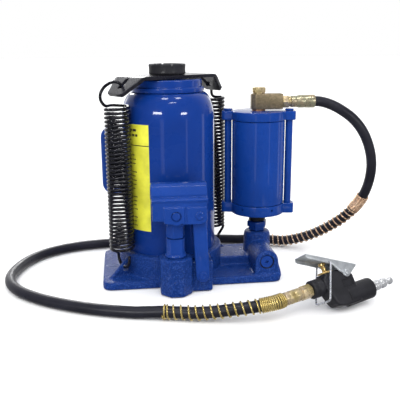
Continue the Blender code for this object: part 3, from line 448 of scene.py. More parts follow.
def spread(material, source, lowest, highest):
    """A value from 0 to 1 mapped to a new span."""
    made = add(material, "ShaderNodeMapRange")
    made.inputs["To Min"].default_value = lowest
    made.inputs["To Max"].default_value = highest
    made.inputs["From Min"].default_value = 0.25
    made.inputs["From Max"].default_value = 0.75
    wire_up(material, source, made.inputs["Value"])
    return made.outputs["Result"]

def bump(material, source, depth, after=None):
    """Raise the surface by a value, in metres, on top of an earlier bump."""
    made = add(material, "ShaderNodeBump", Strength=1.0, Distance=depth)
    wire_up(material, source, made.inputs["Height"])
    if after is not None:
        wire_up(material, after, made.inputs["Normal"])
    return made.outputs["Normal"]

def into(material, socket, output):
    wire_up(material, output, material.node_tree.nodes["Principled BSDF"].inputs[socket])

def enamel(name, deep=(0.0034, 0.0265, 0.178), light=(0.0052, 0.038, 0.235), grain=0.0, pits_and_glints=0.0):
    """Blue gloss enamel. Grain is the sand-cast relief under it, in metres; the last argument is the depth
    of fine pits, and it also brings painted glints: bright flecks in the base colour.
    """
    gloss, coat = (0.10, 0.15) if pits_and_glints else (0.07, 0.8)
    made = new_material(name, Specular_IOR_Level=gloss, Coat_Weight=coat, Coat_Roughness=0.03)
    if pits_and_glints:
        # painted glints: the top stop of this ramp paints small bright flecks for light caught on the pits,
        # over the deep and light tone mottle
        into(made, "Base Color", ramp(made, noise(made, 620, 3, 0.65),
            [(0.38, deep), (0.57, light), (0.70, (0.060, 0.120, 0.360))]))
    else:
        into(made, "Base Color", ramp(made, noise(made, 14, 4), [(0.3, deep), (0.7, light)]))
    into(made, "Roughness", spread(made, noise(made, 60, 4), 0.22, 0.36))
    relief = bump(made, noise(made, 260, 2, stretch=(1, 1, 0.6)), 0.00003)
    if grain:
        relief = bump(made, noise(made, 330, 5, 0.6), grain, relief)
    if pits_and_glints:
        relief = bump(made, noise(made, 480, 4, 0.7), pits_and_glints, relief)
        into(made, "Coat Normal", relief)
    into(made, "Normal", relief)
    return made

def black_paint(name, roughness=0.3, colour=(0.008, 0.008, 0.011), grain=0.00004, coat=0.1):
    made = new_material(name, Specular_IOR_Level=0.32, Coat_Weight=coat, Coat_Roughness=0.06)
    lighter = tuple(c * 1.7 + 0.003 for c in colour)
    into(made, "Base Color", ramp(made, noise(made, 55, 5), [(0.35, colour), (0.8, lighter)]))
    into(made, "Roughness", spread(made, noise(made, 130, 4), roughness - 0.07, roughness + 0.12))
    into(made, "Normal", bump(made, noise(made, 700, 4, 0.6), grain))
    return made

def plated(name, stops, roughness=0.3, scale=70, grain=0.00005, stretch=(1, 1, 1)):
    """Plated metal whose colour drifts through the given stops."""
    made = new_material(name, Metallic=0.72)
    into(made, "Base Color", ramp(made, noise(made, scale, 5, 0.6, stretch), stops))
    into(made, "Roughness", spread(made, noise(made, scale * 3, 4), roughness - 0.08, roughness + 0.14))
    into(made, "Normal", bump(made, noise(made, 900, 3, 0.6, stretch), grain))
    return made

def rubber(name, colour=(0.012, 0.012, 0.016), roughness=0.5, grain=0.00006, stretch=(1, 1, 1)):
    made = new_material(name, Specular_IOR_Level=0.35)
    lighter = tuple(c * 1.8 + 0.003 for c in colour)
    into(made, "Base Color", ramp(made, noise(made, 40, 4), [(0.3, colour), (0.75, lighter)]))
    into(made, "Roughness", spread(made, noise(made, 90, 3), roughness - 0.08, roughness + 0.12))
    into(made, "Normal", bump(made, noise(made, 1400, 3, 0.6, stretch), grain))
    return made

YELLOW_ZINC = [(0.28, (0.45, 0.31, 0.12)), (0.45, (0.62, 0.50, 0.24)), (0.58, (0.70, 0.56, 0.36)),
    (0.75, (0.55, 0.45, 0.38))]
TANK_BLUE = enamel("tank_enamel")
MOTOR_BLUE = enamel("motor_enamel", (0.0042, 0.033, 0.200), (0.0062, 0.045, 0.262))
# the cast enamel carries painted glints: bright flecks in its colour where light would catch the pits
CAST_BLUE_GLINTED = enamel("cast_enamel_painted_glints", (0.0045, 0.024, 0.135), (0.008, 0.040, 0.215), grain=0.0006,
    pits_and_glints=0.0009)
FORGED_BLUE = enamel("forged_enamel", (0.0055, 0.033, 0.192), (0.0085, 0.045, 0.255), grain=0.0003)
PIN_BLUE = enamel("pin_enamel", (0.005, 0.030, 0.18), (0.008, 0.042, 0.24), grain=0.0001)
SPRING_BLACK = black_paint("spring_black", 0.2, (0.005, 0.005, 0.008), 0.00002, 0.35)
YOKE_BLACK = black_paint("yoke_black", 0.28, (0.009, 0.009, 0.014), 0.00006, 0.4)
SADDLE_BLACK = black_paint("saddle_black", 0.5, (0.014, 0.014, 0.018), 0.00022)
VALVE_BLACK = black_paint("valve_black", 0.46, (0.011, 0.011, 0.014), 0.00014)
NECK_BLACK = black_paint("neck_black", 0.38)
FITTING_ZINC = plated("fitting_zinc", YELLOW_ZINC, 0.27)
BLOCK_ZINC = plated("block_zinc", [(0.25, (0.20, 0.16, 0.09)), (0.45, (0.27, 0.22, 0.13)),
    (0.6, (0.34, 0.26, 0.16)), (0.8, (0.38, 0.32, 0.21))], 0.36, 420, 0.00012)
COPPER_WIRE = plated("copper_wire", [(0.3, (0.74, 0.46, 0.28)), (0.7, (0.92, 0.70, 0.50))], 0.22, 50)
YELLOW_WIRE = plated("yellow_wire", [(0.3, (0.60, 0.44, 0.12)), (0.7, (0.86, 0.70, 0.30))], 0.22, 50)
BRASS = plated("turned_brass", [(0.3, (0.62, 0.42, 0.14)), (0.7, (0.80, 0.58, 0.24))], 0.22, 60)
COPPER = plated("soft_copper", [(0.3, (0.50, 0.25, 0.12)), (0.7, (0.70, 0.38, 0.22))], 0.35, 60)
LEVER_ZINC = plated("lever_zinc", [(0.3, (0.46, 0.49, 0.52)), (0.7, (0.66, 0.69, 0.71))], 0.34, 160,
    0.00006)
WIRE_ZINC = plated("wire_zinc", [(0.3, (0.50, 0.52, 0.56)), (0.7, (0.72, 0.74, 0.78))], 0.24, 90)
NICKEL = plated("nickel", [(0.3, (0.66, 0.68, 0.70)), (0.7, (0.84, 0.85, 0.86))], 0.2, 80)
STEEL = plated("ground_steel", [(0.3, (0.44, 0.45, 0.47)), (0.7, (0.60, 0.61, 0.63))], 0.22, 40, 0.00003,
    (1, 1, 0.1))
CHROME = plated("hard_chrome", [(0.3, (0.62, 0.63, 0.65)), (0.7, (0.74, 0.75, 0.77))], 0.12, 30, 0.00001)
ALLOY = plated("machined_alloy", [(0.3, (0.60, 0.61, 0.62)), (0.7, (0.74, 0.75, 0.76))], 0.3, 60)
FERRULE_ZINC = plated("ferrule_zinc", [(0.25, (0.42, 0.36, 0.20)), (0.45, (0.52, 0.42, 0.28)),
    (0.6, (0.40, 0.40, 0.27)), (0.8, (0.60, 0.46, 0.36))], 0.26, 60)
LABEL_YELLOW = rubber("label_yellow", (0.50, 0.49, 0.035), 0.36, 0.00002)
LABEL_INK = rubber("label_ink", (0.02, 0.02, 0.015), 0.4, 0.00001)
HOSE_RUBBER = rubber("hose_rubber", (0.009, 0.009, 0.014), 0.34)
SEAL_RUBBER = rubber("seal_rubber", (0.010, 0.010, 0.011), 0.55)

# ---- frame of the hand valve
LEVER_AT = Vector(JOINTS["lever_press"]["pos_m"])
BAIL_AT = Vector(JOINTS["bail_swing"]["pos_m"])
ACROSS = -Vector(JOINTS["lever_press"]["axis"]).normalized()
UPWARD = -Vector(JOINTS["stem_slide"]["axis"]).normalized()
ALONG = ACROSS.cross(UPWARD)
PIVOT_X, PIVOT_Z = 46 * MM, 6 * MM
VALVE_AT = LEVER_AT - ALONG * PIVOT_X - UPWARD * PIVOT_Z
VALVE = Matrix.Translation(VALVE_AT) @ Matrix((ALONG, ACROSS, UPWARD)).transposed().to_4x4()
FITTING_LENGTH = 36.3 * MM

# ---- air hose and its wire guards
HOSE_R = 6.5 * MM
GUARD_ROOM = 2.1 * MM
REAR_GUARD = (0.172, 0.352)
FRONT_GUARD_LENGTH = 0.132
HOSE_ROUTE = [(0.1865, 0.000, 0.2165), (0.1960, 0.000, 0.2155), (0.2080, -0.002, 0.2118),
    (0.2200, -0.005, 0.2055), (0.2350, -0.008, 0.1945), (0.2480, -0.010, 0.1790), (0.2588, -0.009, 0.1575),
    (0.2653, -0.005, 0.1320), (0.2650, 0.002, 0.1045), (0.2590, 0.012, 0.0803), (0.2450, 0.026, 0.0560),
    (0.2230, 0.042, 0.0345), (0.1980, 0.056, 0.0190), (0.1730, 0.069, 0.0098), (0.1500, 0.079, 0.00685),
    (0.0910, 0.096, 0.00685), (0.0400, 0.102, 0.00685), (0.0000, 0.104, 0.00685), (-0.0500, 0.104, 0.00685),
    (-0.0950, 0.101, 0.00685), (-0.1240, 0.095, 0.00685), (-0.1505, 0.083, 0.00685),
    (-0.1710, 0.067, 0.00685), (-0.1870, 0.0445, 0.00685), (-0.1985, 0.013, 0.00685),
    (-0.2020, -0.017, 0.00685), (-0.1970, -0.043, 0.00685), (-0.1830, -0.0675, 0.00685),
    (-0.1595, -0.091, 0.00685), (-0.1320, -0.1105, 0.00685), (-0.0990, -0.1280, 0.00685),
    (-0.0660, -0.1405, 0.00685), (-0.0340, -0.1490, 0.00685), (-0.0070, -0.1555, 0.00760),
    (0.0240, -0.1635, 0.0103), (0.0520, -0.1694, 0.0143), (0.0780, -0.1729, 0.0180),]
hose_end = VALVE_AT - ALONG * (FITTING_LENGTH + GAP)
route = [Vector(p) for p in HOSE_ROUTE] + [hose_end - ALONG * 8 * MM, hose_end]
hose_line = smooth_line(route, 400)
hose_length = distances(hose_line)[-1]
FRONT_GUARD = (hose_length - FRONT_GUARD_LENGTH, hose_length - 0.6 * MM)
for distance, point in zip(distances(hose_line), hose_line):
    outside = min(max(start - distance, distance - end, 0.0) for start, end in (REAR_GUARD, FRONT_GUARD))
    point.z = max(point.z, HOSE_R + 0.3 * MM + GUARD_ROOM * max(0.0, 1 - outside / (30 * MM)))
hose_length = distances(hose_line)[-1]
hose = piece("rubber_hose", sweep(hose_line, HOSE_R, sides=28), HOSE_RUBBER, "base", "air_hose", crease=60)

def wound(line, start, end, pitch_at, radius, per_turn=18):
    """Points of a wire wound round a line between two distances along it."""
    along = distances(line)
    frames = frames_along(line)
    points = []
    place, angle, i = start, 0.0, 0
    while place < end:
        while i < len(line) - 2 and along[i + 1] < place:
            i += 1
        share = min(max((place - along[i]) / (along[i + 1] - along[i]), 0.0), 1.0)
        centre = line[i].lerp(line[i + 1], share)
        u = frames[i][1].lerp(frames[i + 1][1], share).normalized()
        v = frames[i][2].lerp(frames[i + 1][2], share).normalized()
        points.append(centre + (u * math.cos(angle) + v * math.sin(angle)) * radius)
        angle += math.tau / per_turn
        place += pitch_at(place) / per_turn
    return points

def guard(name, node, span, tight_start, tight_end, open_pitch, wire_r, finish):
    """A wire guard round the hose: close turns at both ends, open ones between."""
    close_pitch = wire_r * 2.05

    def pitch_at(place):
        inside = min(place - (span[0] + tight_start), (span[1] - tight_end) - place)
        blend_in = min(max(inside / (7 * MM) + 0.5, 0.0), 1.0)
        return close_pitch + (open_pitch - close_pitch) * blend_in

    line = wound(hose_line, span[0] + wire_r, span[1] - wire_r, pitch_at, HOSE_R + wire_r + 0.08 * MM)
    return piece(name, sweep(line, wire_r, sides=8, dome=0.4 * MM), finish, "base", node, crease=80)

rear_guard = guard("rear_guard_spring", "hose_guard_rear", REAR_GUARD, 27 * MM, 6 * MM, 7.6 * MM, 0.9 * MM,
    COPPER_WIRE)
front_guard = guard("front_guard_spring", "hose_guard_front", FRONT_GUARD, 6 * MM, 28 * MM, 8.2 * MM,
    0.95 * MM, YELLOW_WIRE)

ferrule_profile = [(0, 155.3), (6.9, 155.3), (7.3, 155.8), (7.3, 161.4), (6.9, 161.9), (7.1, 162.6),
    (7.9, 165.2), (8.1, 167.0), (8.0, 172.6), (7.8, 173.2), (8.0, 173.8), (8.2, 179.0), (8.3, 182.0),
    (8.3, 185.4), (7.8, 186.2), (6.9, 186.2), (6.9, 185.0), (0, 185.0)]
ferrule = piece("crimped_ferrule", moved(lathe(mm(*ferrule_profile), 48, 0.3 * MM, 2), ON_INLET),
    FERRULE_ZINC, "base", "hose_ferrule")

# ---- hand valve on the hose's end
ON_VALVE = VALVE @ RIGHTWARD
STANDING = VALVE @ at(x=26.5 * MM)
SIDEWAYS = VALVE @ FRONTWARD
OUTLET_Z, OUTLET_END = -18.7 * MM, 77.5 * MM
ON_OUTLET = VALVE @ at(z=OUTLET_Z) @ RIGHTWARD

barrel = lathe(mm((0, -36.3), (6.2, -36.3), (7.2, -35.3), (7.2, -31.0), (6.7, -30.4), (6.7, -29.6),
    (7.2, -29.0), (7.2, -24.5), (6.7, -23.9), (6.7, -23.1), (7.2, -22.5), (7.2, -15.4), (6.6, -14.0),
    (5.5, -12.0), (5.5, 18.0), (0, 18.0)), 48, 0.3 * MM, 2)
fitting_hex = prism(polygon(6, 6.9 * MM, 14), -13.6 * MM, -0.8 * MM, 0.25 * MM, 0.7 * MM)
fitting = piece("hose_end_hex", moved(merged(barrel, fitting_hex), ON_VALVE), FITTING_ZINC, "base",
    "hose_end_fitting", crease=32)
collar = piece("valve_entry_collar", moved(lathe(mm((6.1, 0), (9.2, 0), (10.2, 1.0), (10.2, 4.6),
    (9.6, 5.1), (9.6, 6.2), (10.2, 6.7), (10.2, 13.5), (9.2, 14.5), (6.1, 14.5)), 64, 0.35 * MM, 2),
    ON_VALVE), VALVE_BLACK, "base", "valve_collar")

BODY_OUTLINE = mm((14.8, 4.6), (14.8, 7.0), (16.9, 7.0), (16.9, 9.4), (19.0, 9.4), (19.0, 11.8),
    (40.0, 11.8), (52.0, 5.8), (54.5, 2.0), (54.5, -27.6), (53.5, -28.6), (34.0, -28.6), (23.5, -26.0),
    (20.5, -22.5), (14.8, -4.6))
body_core = loose("valve_core", prism(BODY_OUTLINE, -10 * MM, 10 * MM, 0.4 * MM, 2.4 * MM), SIDEWAYS)
body_spout = loose("valve_spout", lathe(mm((0, 40), (11.9, 40), (11.9, 76.2), (10.6, 77.5), (0, 77.5)), 64),
    ON_OUTLET)
body_entry = loose("valve_entry", stepped([(9.3, 14.8), (0, 24)], 64), ON_VALVE)
valve_body = cast([body_core, body_spout, body_entry], 0.5 * MM, 3)
boolean(valve_body, [loose("stem_bore", stepped([(4.6, -5), (0, 30)], 40), STANDING),
    loose("inlet_socket", stepped([(6.2, 10), (0, 20.5)], 40), ON_VALVE),
    loose("plug_socket", stepped([(5.6, 50), (0, 80)], 40), ON_OUTLET),
    loose("pin_hole", stepped([(2.3, -30), (0, 30)], 24), VALVE @ at(PIVOT_X, 0, PIVOT_Z) @ FRONTWARD),
    loose("front_recess", prism(box_outline(36 * MM, 50.5 * MM, -9.5 * MM, -0.5 * MM), 8.6 * MM, 14 * MM,
    2.2 * MM, 0.5 * MM), SIDEWAYS), loose("rear_recess", prism(box_outline(36 * MM, 50.5 * MM, -9.5 * MM,
    -0.5 * MM), -14 * MM, -8.6 * MM, 2.2 * MM, 0.5 * MM), SIDEWAYS)])
valve_body = piece("valve_casting", valve_body, VALVE_BLACK, "base", "valve_body", crease=42)

plug = piece("tyre_plug", moved(lathe(mm((0, -10), (5.2, -10), (5.2, 0.5), (6.7, 0.5), (6.8, 3.0),
    (6.3, 3.6), (6.6, 4.2), (6.1, 7.4), (6.4, 8.2), (6.2, 11.5), (5.0, 13.2), (5.0, 14.4), (6.0, 15.8),
    (6.0, 21.0), (5.0, 22.4), (3.2, 23.6), (3.2, 26.2), (4.6, 28.0), (4.6, 30.7), (3.9, 32.3), (2.2, 33.2),
    (0, 33.3)), 48, 0.35 * MM, 2), VALVE @ at(OUTLET_END, 0, OUTLET_Z) @ RIGHTWARD), NICKEL, "base",
    "valve_plug")
guide = piece("stem_guide_disc", moved(lathe(mm((3.0, 1.0), (4.3, 1.0), (4.3, 12.1), (8.4, 12.1),
    (8.6, 12.4), (8.6, 13.2), (8.1, 14.1), (5.6, 14.1), (5.2, 13.5), (3.0, 13.5)), 56, 0.2 * MM, 2),
    STANDING), BRASS, "base", "stem_guide")
stem = piece("push_stem", moved(lathe(mm((0, 0), (2.6, 0), (2.6, 20.9), (4.0, 21.1), (4.2, 21.6),
    (4.2, 23.2), (3.4, 24.1), (1.8, 24.5), (0, 24.5)), 40, 0.25 * MM, 2), STANDING), BRASS, "valve_stem",
    "valve_stem")

LEVER = VALVE @ at(PIVOT_X, 0, PIVOT_Z) @ turn(25.2, "Y")       # its X runs along the lever's roof
LEVER_SIDE = LEVER @ FRONTWARD
LEVER_HALF, SHEET = 12.2 * MM, 1.3 * MM
ROOF = 11.7 * MM
side_view = ([Vector((-52.5 * MM, ROOF)), Vector((-52.3 * MM, ROOF - 4.4 * MM)),
    Vector((-49.5 * MM, ROOF - 5.6 * MM)), Vector((-20.0 * MM, ROOF - 6.2 * MM)),
    Vector((-9.0 * MM, -1.0 * MM))] + arc((0, 0), 5.2 * MM, 205, 325, 12)
    + [Vector((10.5 * MM, ROOF - 5.0 * MM)), Vector((12.5 * MM, ROOF - 2.6 * MM)),
    Vector((12.5 * MM, ROOF))])
lever = loose("lever_blank", prism(side_view, -LEVER_HALF, LEVER_HALF, 0.9 * MM, 1.5 * MM, 4), LEVER_SIDE)
hollow = [(-70 * MM, -25 * MM), (12.5 * MM - SHEET, -25 * MM), (12.5 * MM - SHEET, ROOF - SHEET),
    (-70 * MM, ROOF - SHEET)]
boolean(lever, [loose("lever_hollow", prism(hollow, SHEET - LEVER_HALF, LEVER_HALF - SHEET, 0.8 * MM,
    0.7 * MM), LEVER_SIDE), loose("lever_eye", stepped([(2.3, -30), (0, 30)], 24), LEVER_SIDE),
    loose("bail_eye", stepped([(1.4, -30), (0, 30)], 20), Matrix.Translation(BAIL_AT - VALVE_AT)
    @ SIDEWAYS)])
lever = piece("press_lever", lever, LEVER_ZINC, "valve_lever", "valve_lever", crease=30)
pin = piece("lever_rivet", moved(lathe(mm((0, -13.4), (1.2, -13.4), (2.0, -12.9), (2.0, 12.5), (3.6, 12.5),
    (3.5, 13.1), (2.6, 13.7), (1.1, 13.9), (0.9, 13.5), (0, 13.5)), 36, 0.15 * MM, 2), LEVER_SIDE),
    LEVER_ZINC, "base", "lever_pin")

BAIL_R, BAIL_HALF = 1.1 * MM, 14.4 * MM
BAIL_DROP = (-19.5 * MM, -39.4 * MM)
bail_corners = [(0, -BAIL_HALF + 3.5 * MM, 0), (0, -BAIL_HALF, 0),
    (BAIL_DROP[0] * 0.96, -BAIL_HALF, BAIL_DROP[1] * 0.96), (BAIL_DROP[0], -BAIL_HALF + 2.2 * MM,
    BAIL_DROP[1]), (BAIL_DROP[0], BAIL_HALF - 2.2 * MM, BAIL_DROP[1]),
    (BAIL_DROP[0] * 0.96, BAIL_HALF, BAIL_DROP[1] * 0.96), (0, BAIL_HALF, 0), (0, BAIL_HALF - 3.5 * MM, 0)]
bail = piece("lock_bail", moved(sweep(soften(bail_corners, 2.4 * MM, 6), BAIL_R, 16, 0.3 * MM),
    Matrix.Translation(BAIL_AT) @ VALVE.to_3x3().to_4x4()), WIRE_ZINC, "lever_bail", "lever_bail",
    crease=60)

# ---- base casting
PLATE_LEFT, PLATE_RIGHT, PLATE_HALF_DEPTH = -87.2 * MM, 133.7 * MM, 65 * MM
COLLAR_R, COLLAR_TOP = 65.5 * MM, 38 * MM
VALVE_Z = 26 * MM
ON_RELEASE = at(MOTOR_X, 0, VALVE_Z) @ FRONTWARD
plate = prism(box_outline(PLATE_LEFT, PLATE_RIGHT, -PLATE_HALF_DEPTH, PLATE_HALF_DEPTH), 0, 10 * MM,
    12 * MM, 2.2 * MM)
collar_ring = lathe([(0, 1 * MM), (COLLAR_R, 1 * MM), (COLLAR_R, COLLAR_TOP - 1.2 * MM),
    (COLLAR_R - 1.2 * MM, COLLAR_TOP), (0, COLLAR_TOP)], 128)
web = prism(box_outline(50 * MM, MOTOR_X, -21 * MM, 21 * MM), 4 * MM, 21 * MM, 3 * MM, 1.5 * MM)
tower = moved(lathe(mm((0, 4), (18.0, 4), (17.2, 45), (16.0, 48.5), (13.2, 50), (0, 50)), 96), OVER_MOTOR)
boss = moved(prism(polygon(8, 19 * MM, 22.5), 0.2 * MM, 46 * MM, 1.6 * MM, 1.8 * MM), OVER_PUMP)
bridge = prism(box_outline(-18.2 * MM, 18.2 * MM, PUMP_Y, -45 * MM), 1 * MM, 37 * MM)
lug = prism(box_outline(16 * MM, 44 * MM, -82.5 * MM, -40 * MM), 1 * MM, 38 * MM, 3 * MM, 1.6 * MM)
arch = (mm((19.0, -20.0), (17.5, -11.5), (14.5, -2)) + arc((0, 0), 14.5 * MM, 0, 180, 24)
    + [(-14.5 * MM, -20.0 * MM)])
arch = moved(prism(arch, 0, 62 * MM, 0, 1.2 * MM), ON_RELEASE)
patch = moved(prism(polygon(8, 7.9 * MM, 22.5), 0, 20.3 * MM, 0.8 * MM, 0.5 * MM),
    at(0, PUMP_Y, 11.5 * MM) @ FRONTWARD)
solids = [plate, collar_ring, web, tower, boss, bridge, lug, arch, patch]
GUSSET = mm((61.5, 4), (96, 4), (94, 10.5), (64.5, 34.5), (61.5, 34.5))
for side in (0, 180):
    lean = turn(SPRING_DEGREES + side) @ turn(90, "X")
    solids.append(moved(prism(GUSSET, -2.75 * MM, 2.75 * MM, 0.5 * MM, 0.8 * MM), lean))
casting = cast([loose("solid", solid) for solid in solids], 1.15 * MM, 5)
bores = [stepped([(36.3, 14), (57.6, 24), (0, 50)], 128), moved(stepped([(10.3, 12), (0, 60)]), OVER_PUMP),
    moved(stepped([(5.4, 9), (8.6, 35.7), (0, 60)]), OVER_MOTOR), moved(stepped([(7.0, 27), (9.0, 58),
    (0, 70)]), ON_RELEASE), prism(box_outline(17.5 * MM, 60 * MM, -76.3 * MM, -67.2 * MM), 11.5 * MM,
    60 * MM, 0.5 * MM)]
for side in (SPRING_DEGREES, SPRING_DEGREES + 180):
    bores.append(moved(stepped([(4.6, -6), (0, 6)], 32), turn(side) @ at(71.5 * MM, 0, 20.5 * MM)
        @ turn(90, "X")))
boolean(casting, [loose("bores", merged(*bores))])
boolean(casting, [rod(at(31 * MM, 0, 23 * MM) @ FRONTWARD, [(4.3, 58), (0, 90)], 32)])
piece("cast_base", casting, CAST_BLUE_GLINTED, "base", "base_casting", crease=40)

# ---- reservoir, top nut and lifting column
NECK_R, SHOULDER_START, SHOULDER_TOP, WALL = 42.5 * MM, 198 * MM, 231.7 * MM, 3 * MM
AT_FILLER = at(z=182 * MM) @ turn(-90, "X")

def shoulder(offset, steps=20):
    angles = [math.pi / 2 * (1 - k / steps) for k in range(steps + 1)]
    return [(NECK_R + (TANK_R - NECK_R) * math.cos(a) - offset * math.cos(a),
        SHOULDER_START + (SHOULDER_TOP - SHOULDER_START) * math.sin(a) - offset * math.sin(a))
        for a in angles]

tank = ([(37 * MM, SHOULDER_TOP)] + shoulder(0) + [(TANK_R, 170 * MM), (TANK_R, 100 * MM),
    (TANK_R, 26.4 * MM), (TANK_R - WALL, 26.4 * MM)] + shoulder(WALL)[::-1]
    + [(37 * MM, SHOULDER_TOP - WALL)])
tank = loose("tank", lathe(tank, 160))
boolean(tank, [rod(AT_FILLER, [(5.5, 50), (0, 62)], 32)])
piece("oil_reservoir", tank, TANK_BLUE, "base", "reservoir_tank", crease=30)
piece("filler_plug", moved(lathe(mm((0, 53.5), (5.1, 53.5), (5.1, 57.9), (7.2, 57.9), (7.2, 60.0),
    (6.2, 61.0), (3.0, 61.0), (2.4, 60.3), (0, 60.3)), 40, 0.3 * MM, 2), AT_FILLER), SEAL_RUBBER, "base",
    "oil_filler_plug")
piece("gland_nut", lathe(mm((24.6, 247), (41, 247), (42, 246), (42, 238.6), (42.6, 238), (44.0, 237.7),
    (44.6, 237.0), (44.6, 232.6), (44.0, 232), (36.3, 232), (36.3, 239.8), (24.6, 239.8), (24.6, 241.0),
    (28.3, 241.0), (28.3, 245.0), (24.6, 245.0)), 144, 0.45 * MM, 3), TANK_BLUE, "base", "tank_top_nut",
    crease=32)
piece("rod_wiper", lathe(mm((24.6, 241.3), (28.0, 241.3), (28.0, 244.7), (25.6, 244.7), (24.6, 243.6)), 96,
    0.3 * MM, 2), SEAL_RUBBER, "base", "rod_wiper_seal")
piece("lift_ram", lathe(mm((15.3, 247.3), (23.3, 247.3), (24.3, 246.3), (24.3, 40), (29.9, 40), (29.9, 33),
    (26.8, 33), (26.8, 27), (29.9, 27), (29.9, 20.5), (6, 20.5), (6, 30), (4, 178), (15.3, 178)), 96,
    0.3 * MM, 2), CHROME, "ram", "ram", crease=30)
SCREW_R, THREAD_DEPTH, THREAD_PITCH = 15 * MM, 1.5 * MM, 6 * MM
screw = merged(threaded(SCREW_R, THREAD_DEPTH, THREAD_PITCH, 181.5 * MM, 250.4 * MM, 64),
    lathe(mm((0, 180), (12.5, 180), (13.6, 181.4), (13.6, 250.2), (13.6, 252.1), (8, 252.1), (8, 259),
    (0, 259)), 64, 0.3 * MM, 2))
piece("extension_thread", screw, STEEL, "extension_screw", "extension_screw", crease=45)

saddle = loose("saddle_blank", lathe(mm((0, 263.5), (17.5, 263.5), (19.0, 264.9), (21.6, 265),
    (22.6, 264.0), (22.6, 262.0), (22.35, 261.2), (22.3, 256.4), (22.5, 255.2), (22.4, 253.6),
    (21.6, 252.4), (8.3, 252.4), (8.3, 259.3), (0, 259.3)), 96, 0.4 * MM, 3))
for angle in (0, 90):
    boolean(saddle, [loose("groove", moved(prism(box_outline(-30 * MM, 30 * MM, -1.4 * MM, 1.4 * MM),
        262.2 * MM, 267 * MM, 0.3 * MM), turn(angle + 12)))])
piece("load_saddle", rounded_edges(saddle, 0.25 * MM, 2, 50), SADDLE_BLACK, "saddle", "saddle", crease=35)

# ---- spring yoke
YOKE_TOP, YOKE_SHEET, YOKE_FOLD, YOKE_FLAP = 252 * MM, 4 * MM, 54 * MM, 30 * MM
YOKE_HALF, YOKE_TIP_HALF, YOKE_BEND, BEND_R = 28 * MM, 15.5 * MM, math.radians(40), 8 * MM

def yoke_section(path):
    """Distance from the ram, height and half width of the yoke's top face, at a length from its middle."""
    start = YOKE_FOLD - BEND_R * math.tan(YOKE_BEND / 2)
    turned = min(max(path - start, 0.0), BEND_R * YOKE_BEND) / BEND_R
    beyond = max(0.0, path - start - BEND_R * YOKE_BEND)
    distance = min(path, start) + BEND_R * math.sin(turned) + beyond * math.cos(YOKE_BEND)
    height = YOKE_TOP - BEND_R * (1 - math.cos(turned)) - beyond * math.sin(YOKE_BEND)
    taper = max(0.0, path - YOKE_FOLD) / YOKE_FLAP
    eased = taper * taper * (3 - 2 * taper)
    half_width = YOKE_HALF + (YOKE_TIP_HALF - YOKE_HALF) * (0.5 * taper + 0.5 * eased)
    return distance, height, half_width, turned

END = YOKE_FOLD + YOKE_FLAP
TIP_ROUND = 2.2 * MM
stations = [-END + TIP_ROUND * k for k in range(20)] + [-END + 44 * MM + 4 * MM * k for k in range(20)]
stations = sorted(set([round(s, 6) for s in stations if s < 0] + [0.0]
    + [round(-s, 6) for s in stations if s < 0]))
ACROSS_STEPS = 12
yoke = bmesh.new()
faces_top, faces_under = [], []
for station in stations:
    distance, height, half_width, turned = yoke_section(abs(station))
    to_tip = END - abs(station)
    half_width -= max(0.0, TIP_ROUND - to_tip) ** 2 / TIP_ROUND
    way = math.copysign(1, station)
    drop = Vector((-way * math.sin(turned), 0, -math.cos(turned))) * YOKE_SHEET
    row_top, row_under = [], []
    for k in range(ACROSS_STEPS + 1):
        y = half_width * (2 * k / ACROSS_STEPS - 1)
        top = Vector((way * distance, y, height))
        row_top.append(yoke.verts.new(top))
        row_under.append(yoke.verts.new(top + drop))
    faces_top.append(row_top)
    faces_under.append(row_under)
for rows in (faces_top, faces_under):
    for near, far in zip(rows, rows[1:]):
        for k in range(ACROSS_STEPS):
            yoke.faces.new((near[k], near[k + 1], far[k + 1], far[k]))
for i in range(len(stations) - 1):
    for k in (0, ACROSS_STEPS):
        yoke.faces.new((faces_top[i][k], faces_top[i + 1][k], faces_under[i + 1][k], faces_under[i][k]))
for i in (0, -1):
    for k in range(ACROSS_STEPS):
        yoke.faces.new((faces_top[i][k], faces_top[i][k + 1], faces_under[i][k + 1], faces_under[i][k]))
yoke = loose("yoke_sheet", yoke, turn(SPRING_DEGREES))
slot_at = yoke_section(65.5 * MM)
cutters = [loose("yoke_hole", stepped([(15.8, 240), (0, 260)], 64))]
for side in (SPRING_DEGREES, SPRING_DEGREES + 180):
    place = turn(side) @ at(slot_at[0], 0, slot_at[1]) @ Matrix.Rotation(YOKE_BEND, 4, "Y")
    cutters.append(loose("hook_slot", prism(box_outline(-8 * MM, 10 * MM, -3.8 * MM, 3.8 * MM), -12 * MM,
        12 * MM, 3.7 * MM), place))
boolean(yoke, cutters)
piece("yoke_plate", rounded_edges(yoke, 0.7 * MM, 3, 40), YOKE_BLACK, "ram", "spring_yoke", crease=30)

# ---- return springs
SPRING_R, WIRE_R, SPRING_LOW, SPRING_HIGH, SPRING_TURNS = 13.8 * MM, 1.85 * MM, 44.5 * MM, 223.5 * MM, 38
STEPS_PER_TURN = 26

def spring_line(last_turn, upper_hook):
    """The wire of a return spring, its axis at local X and Z: lower hook, close coils, upper hook."""
    hook = [Vector((72.0 * MM, -12.2 * MM * math.cos(math.radians(d)),
        33 * MM + 12.2 * MM * math.sin(math.radians(d)))) for d in range(-200, 24, 11)]
    total = int(SPRING_TURNS * STEPS_PER_TURN)
    coils = []
    for i in range(total - int(last_turn * STEPS_PER_TURN)):
        angle = -math.pi / 2 + math.tau * i / STEPS_PER_TURN
        coils.append(Vector((SPRING_AXIS_R + SPRING_R * math.cos(angle), SPRING_R * math.sin(angle),
            SPRING_LOW + (SPRING_HIGH - SPRING_LOW) * i / total)))
    upper = [Vector(p) * MM for p in upper_hook]
    ease_in = smooth_line([hook[-3], hook[-2], coils[4], coils[7]], 10)
    ease_out = smooth_line([coils[-5], coils[-1]] + upper, 46)
    return hook[:-3] + ease_in + coils[8:-5] + ease_out

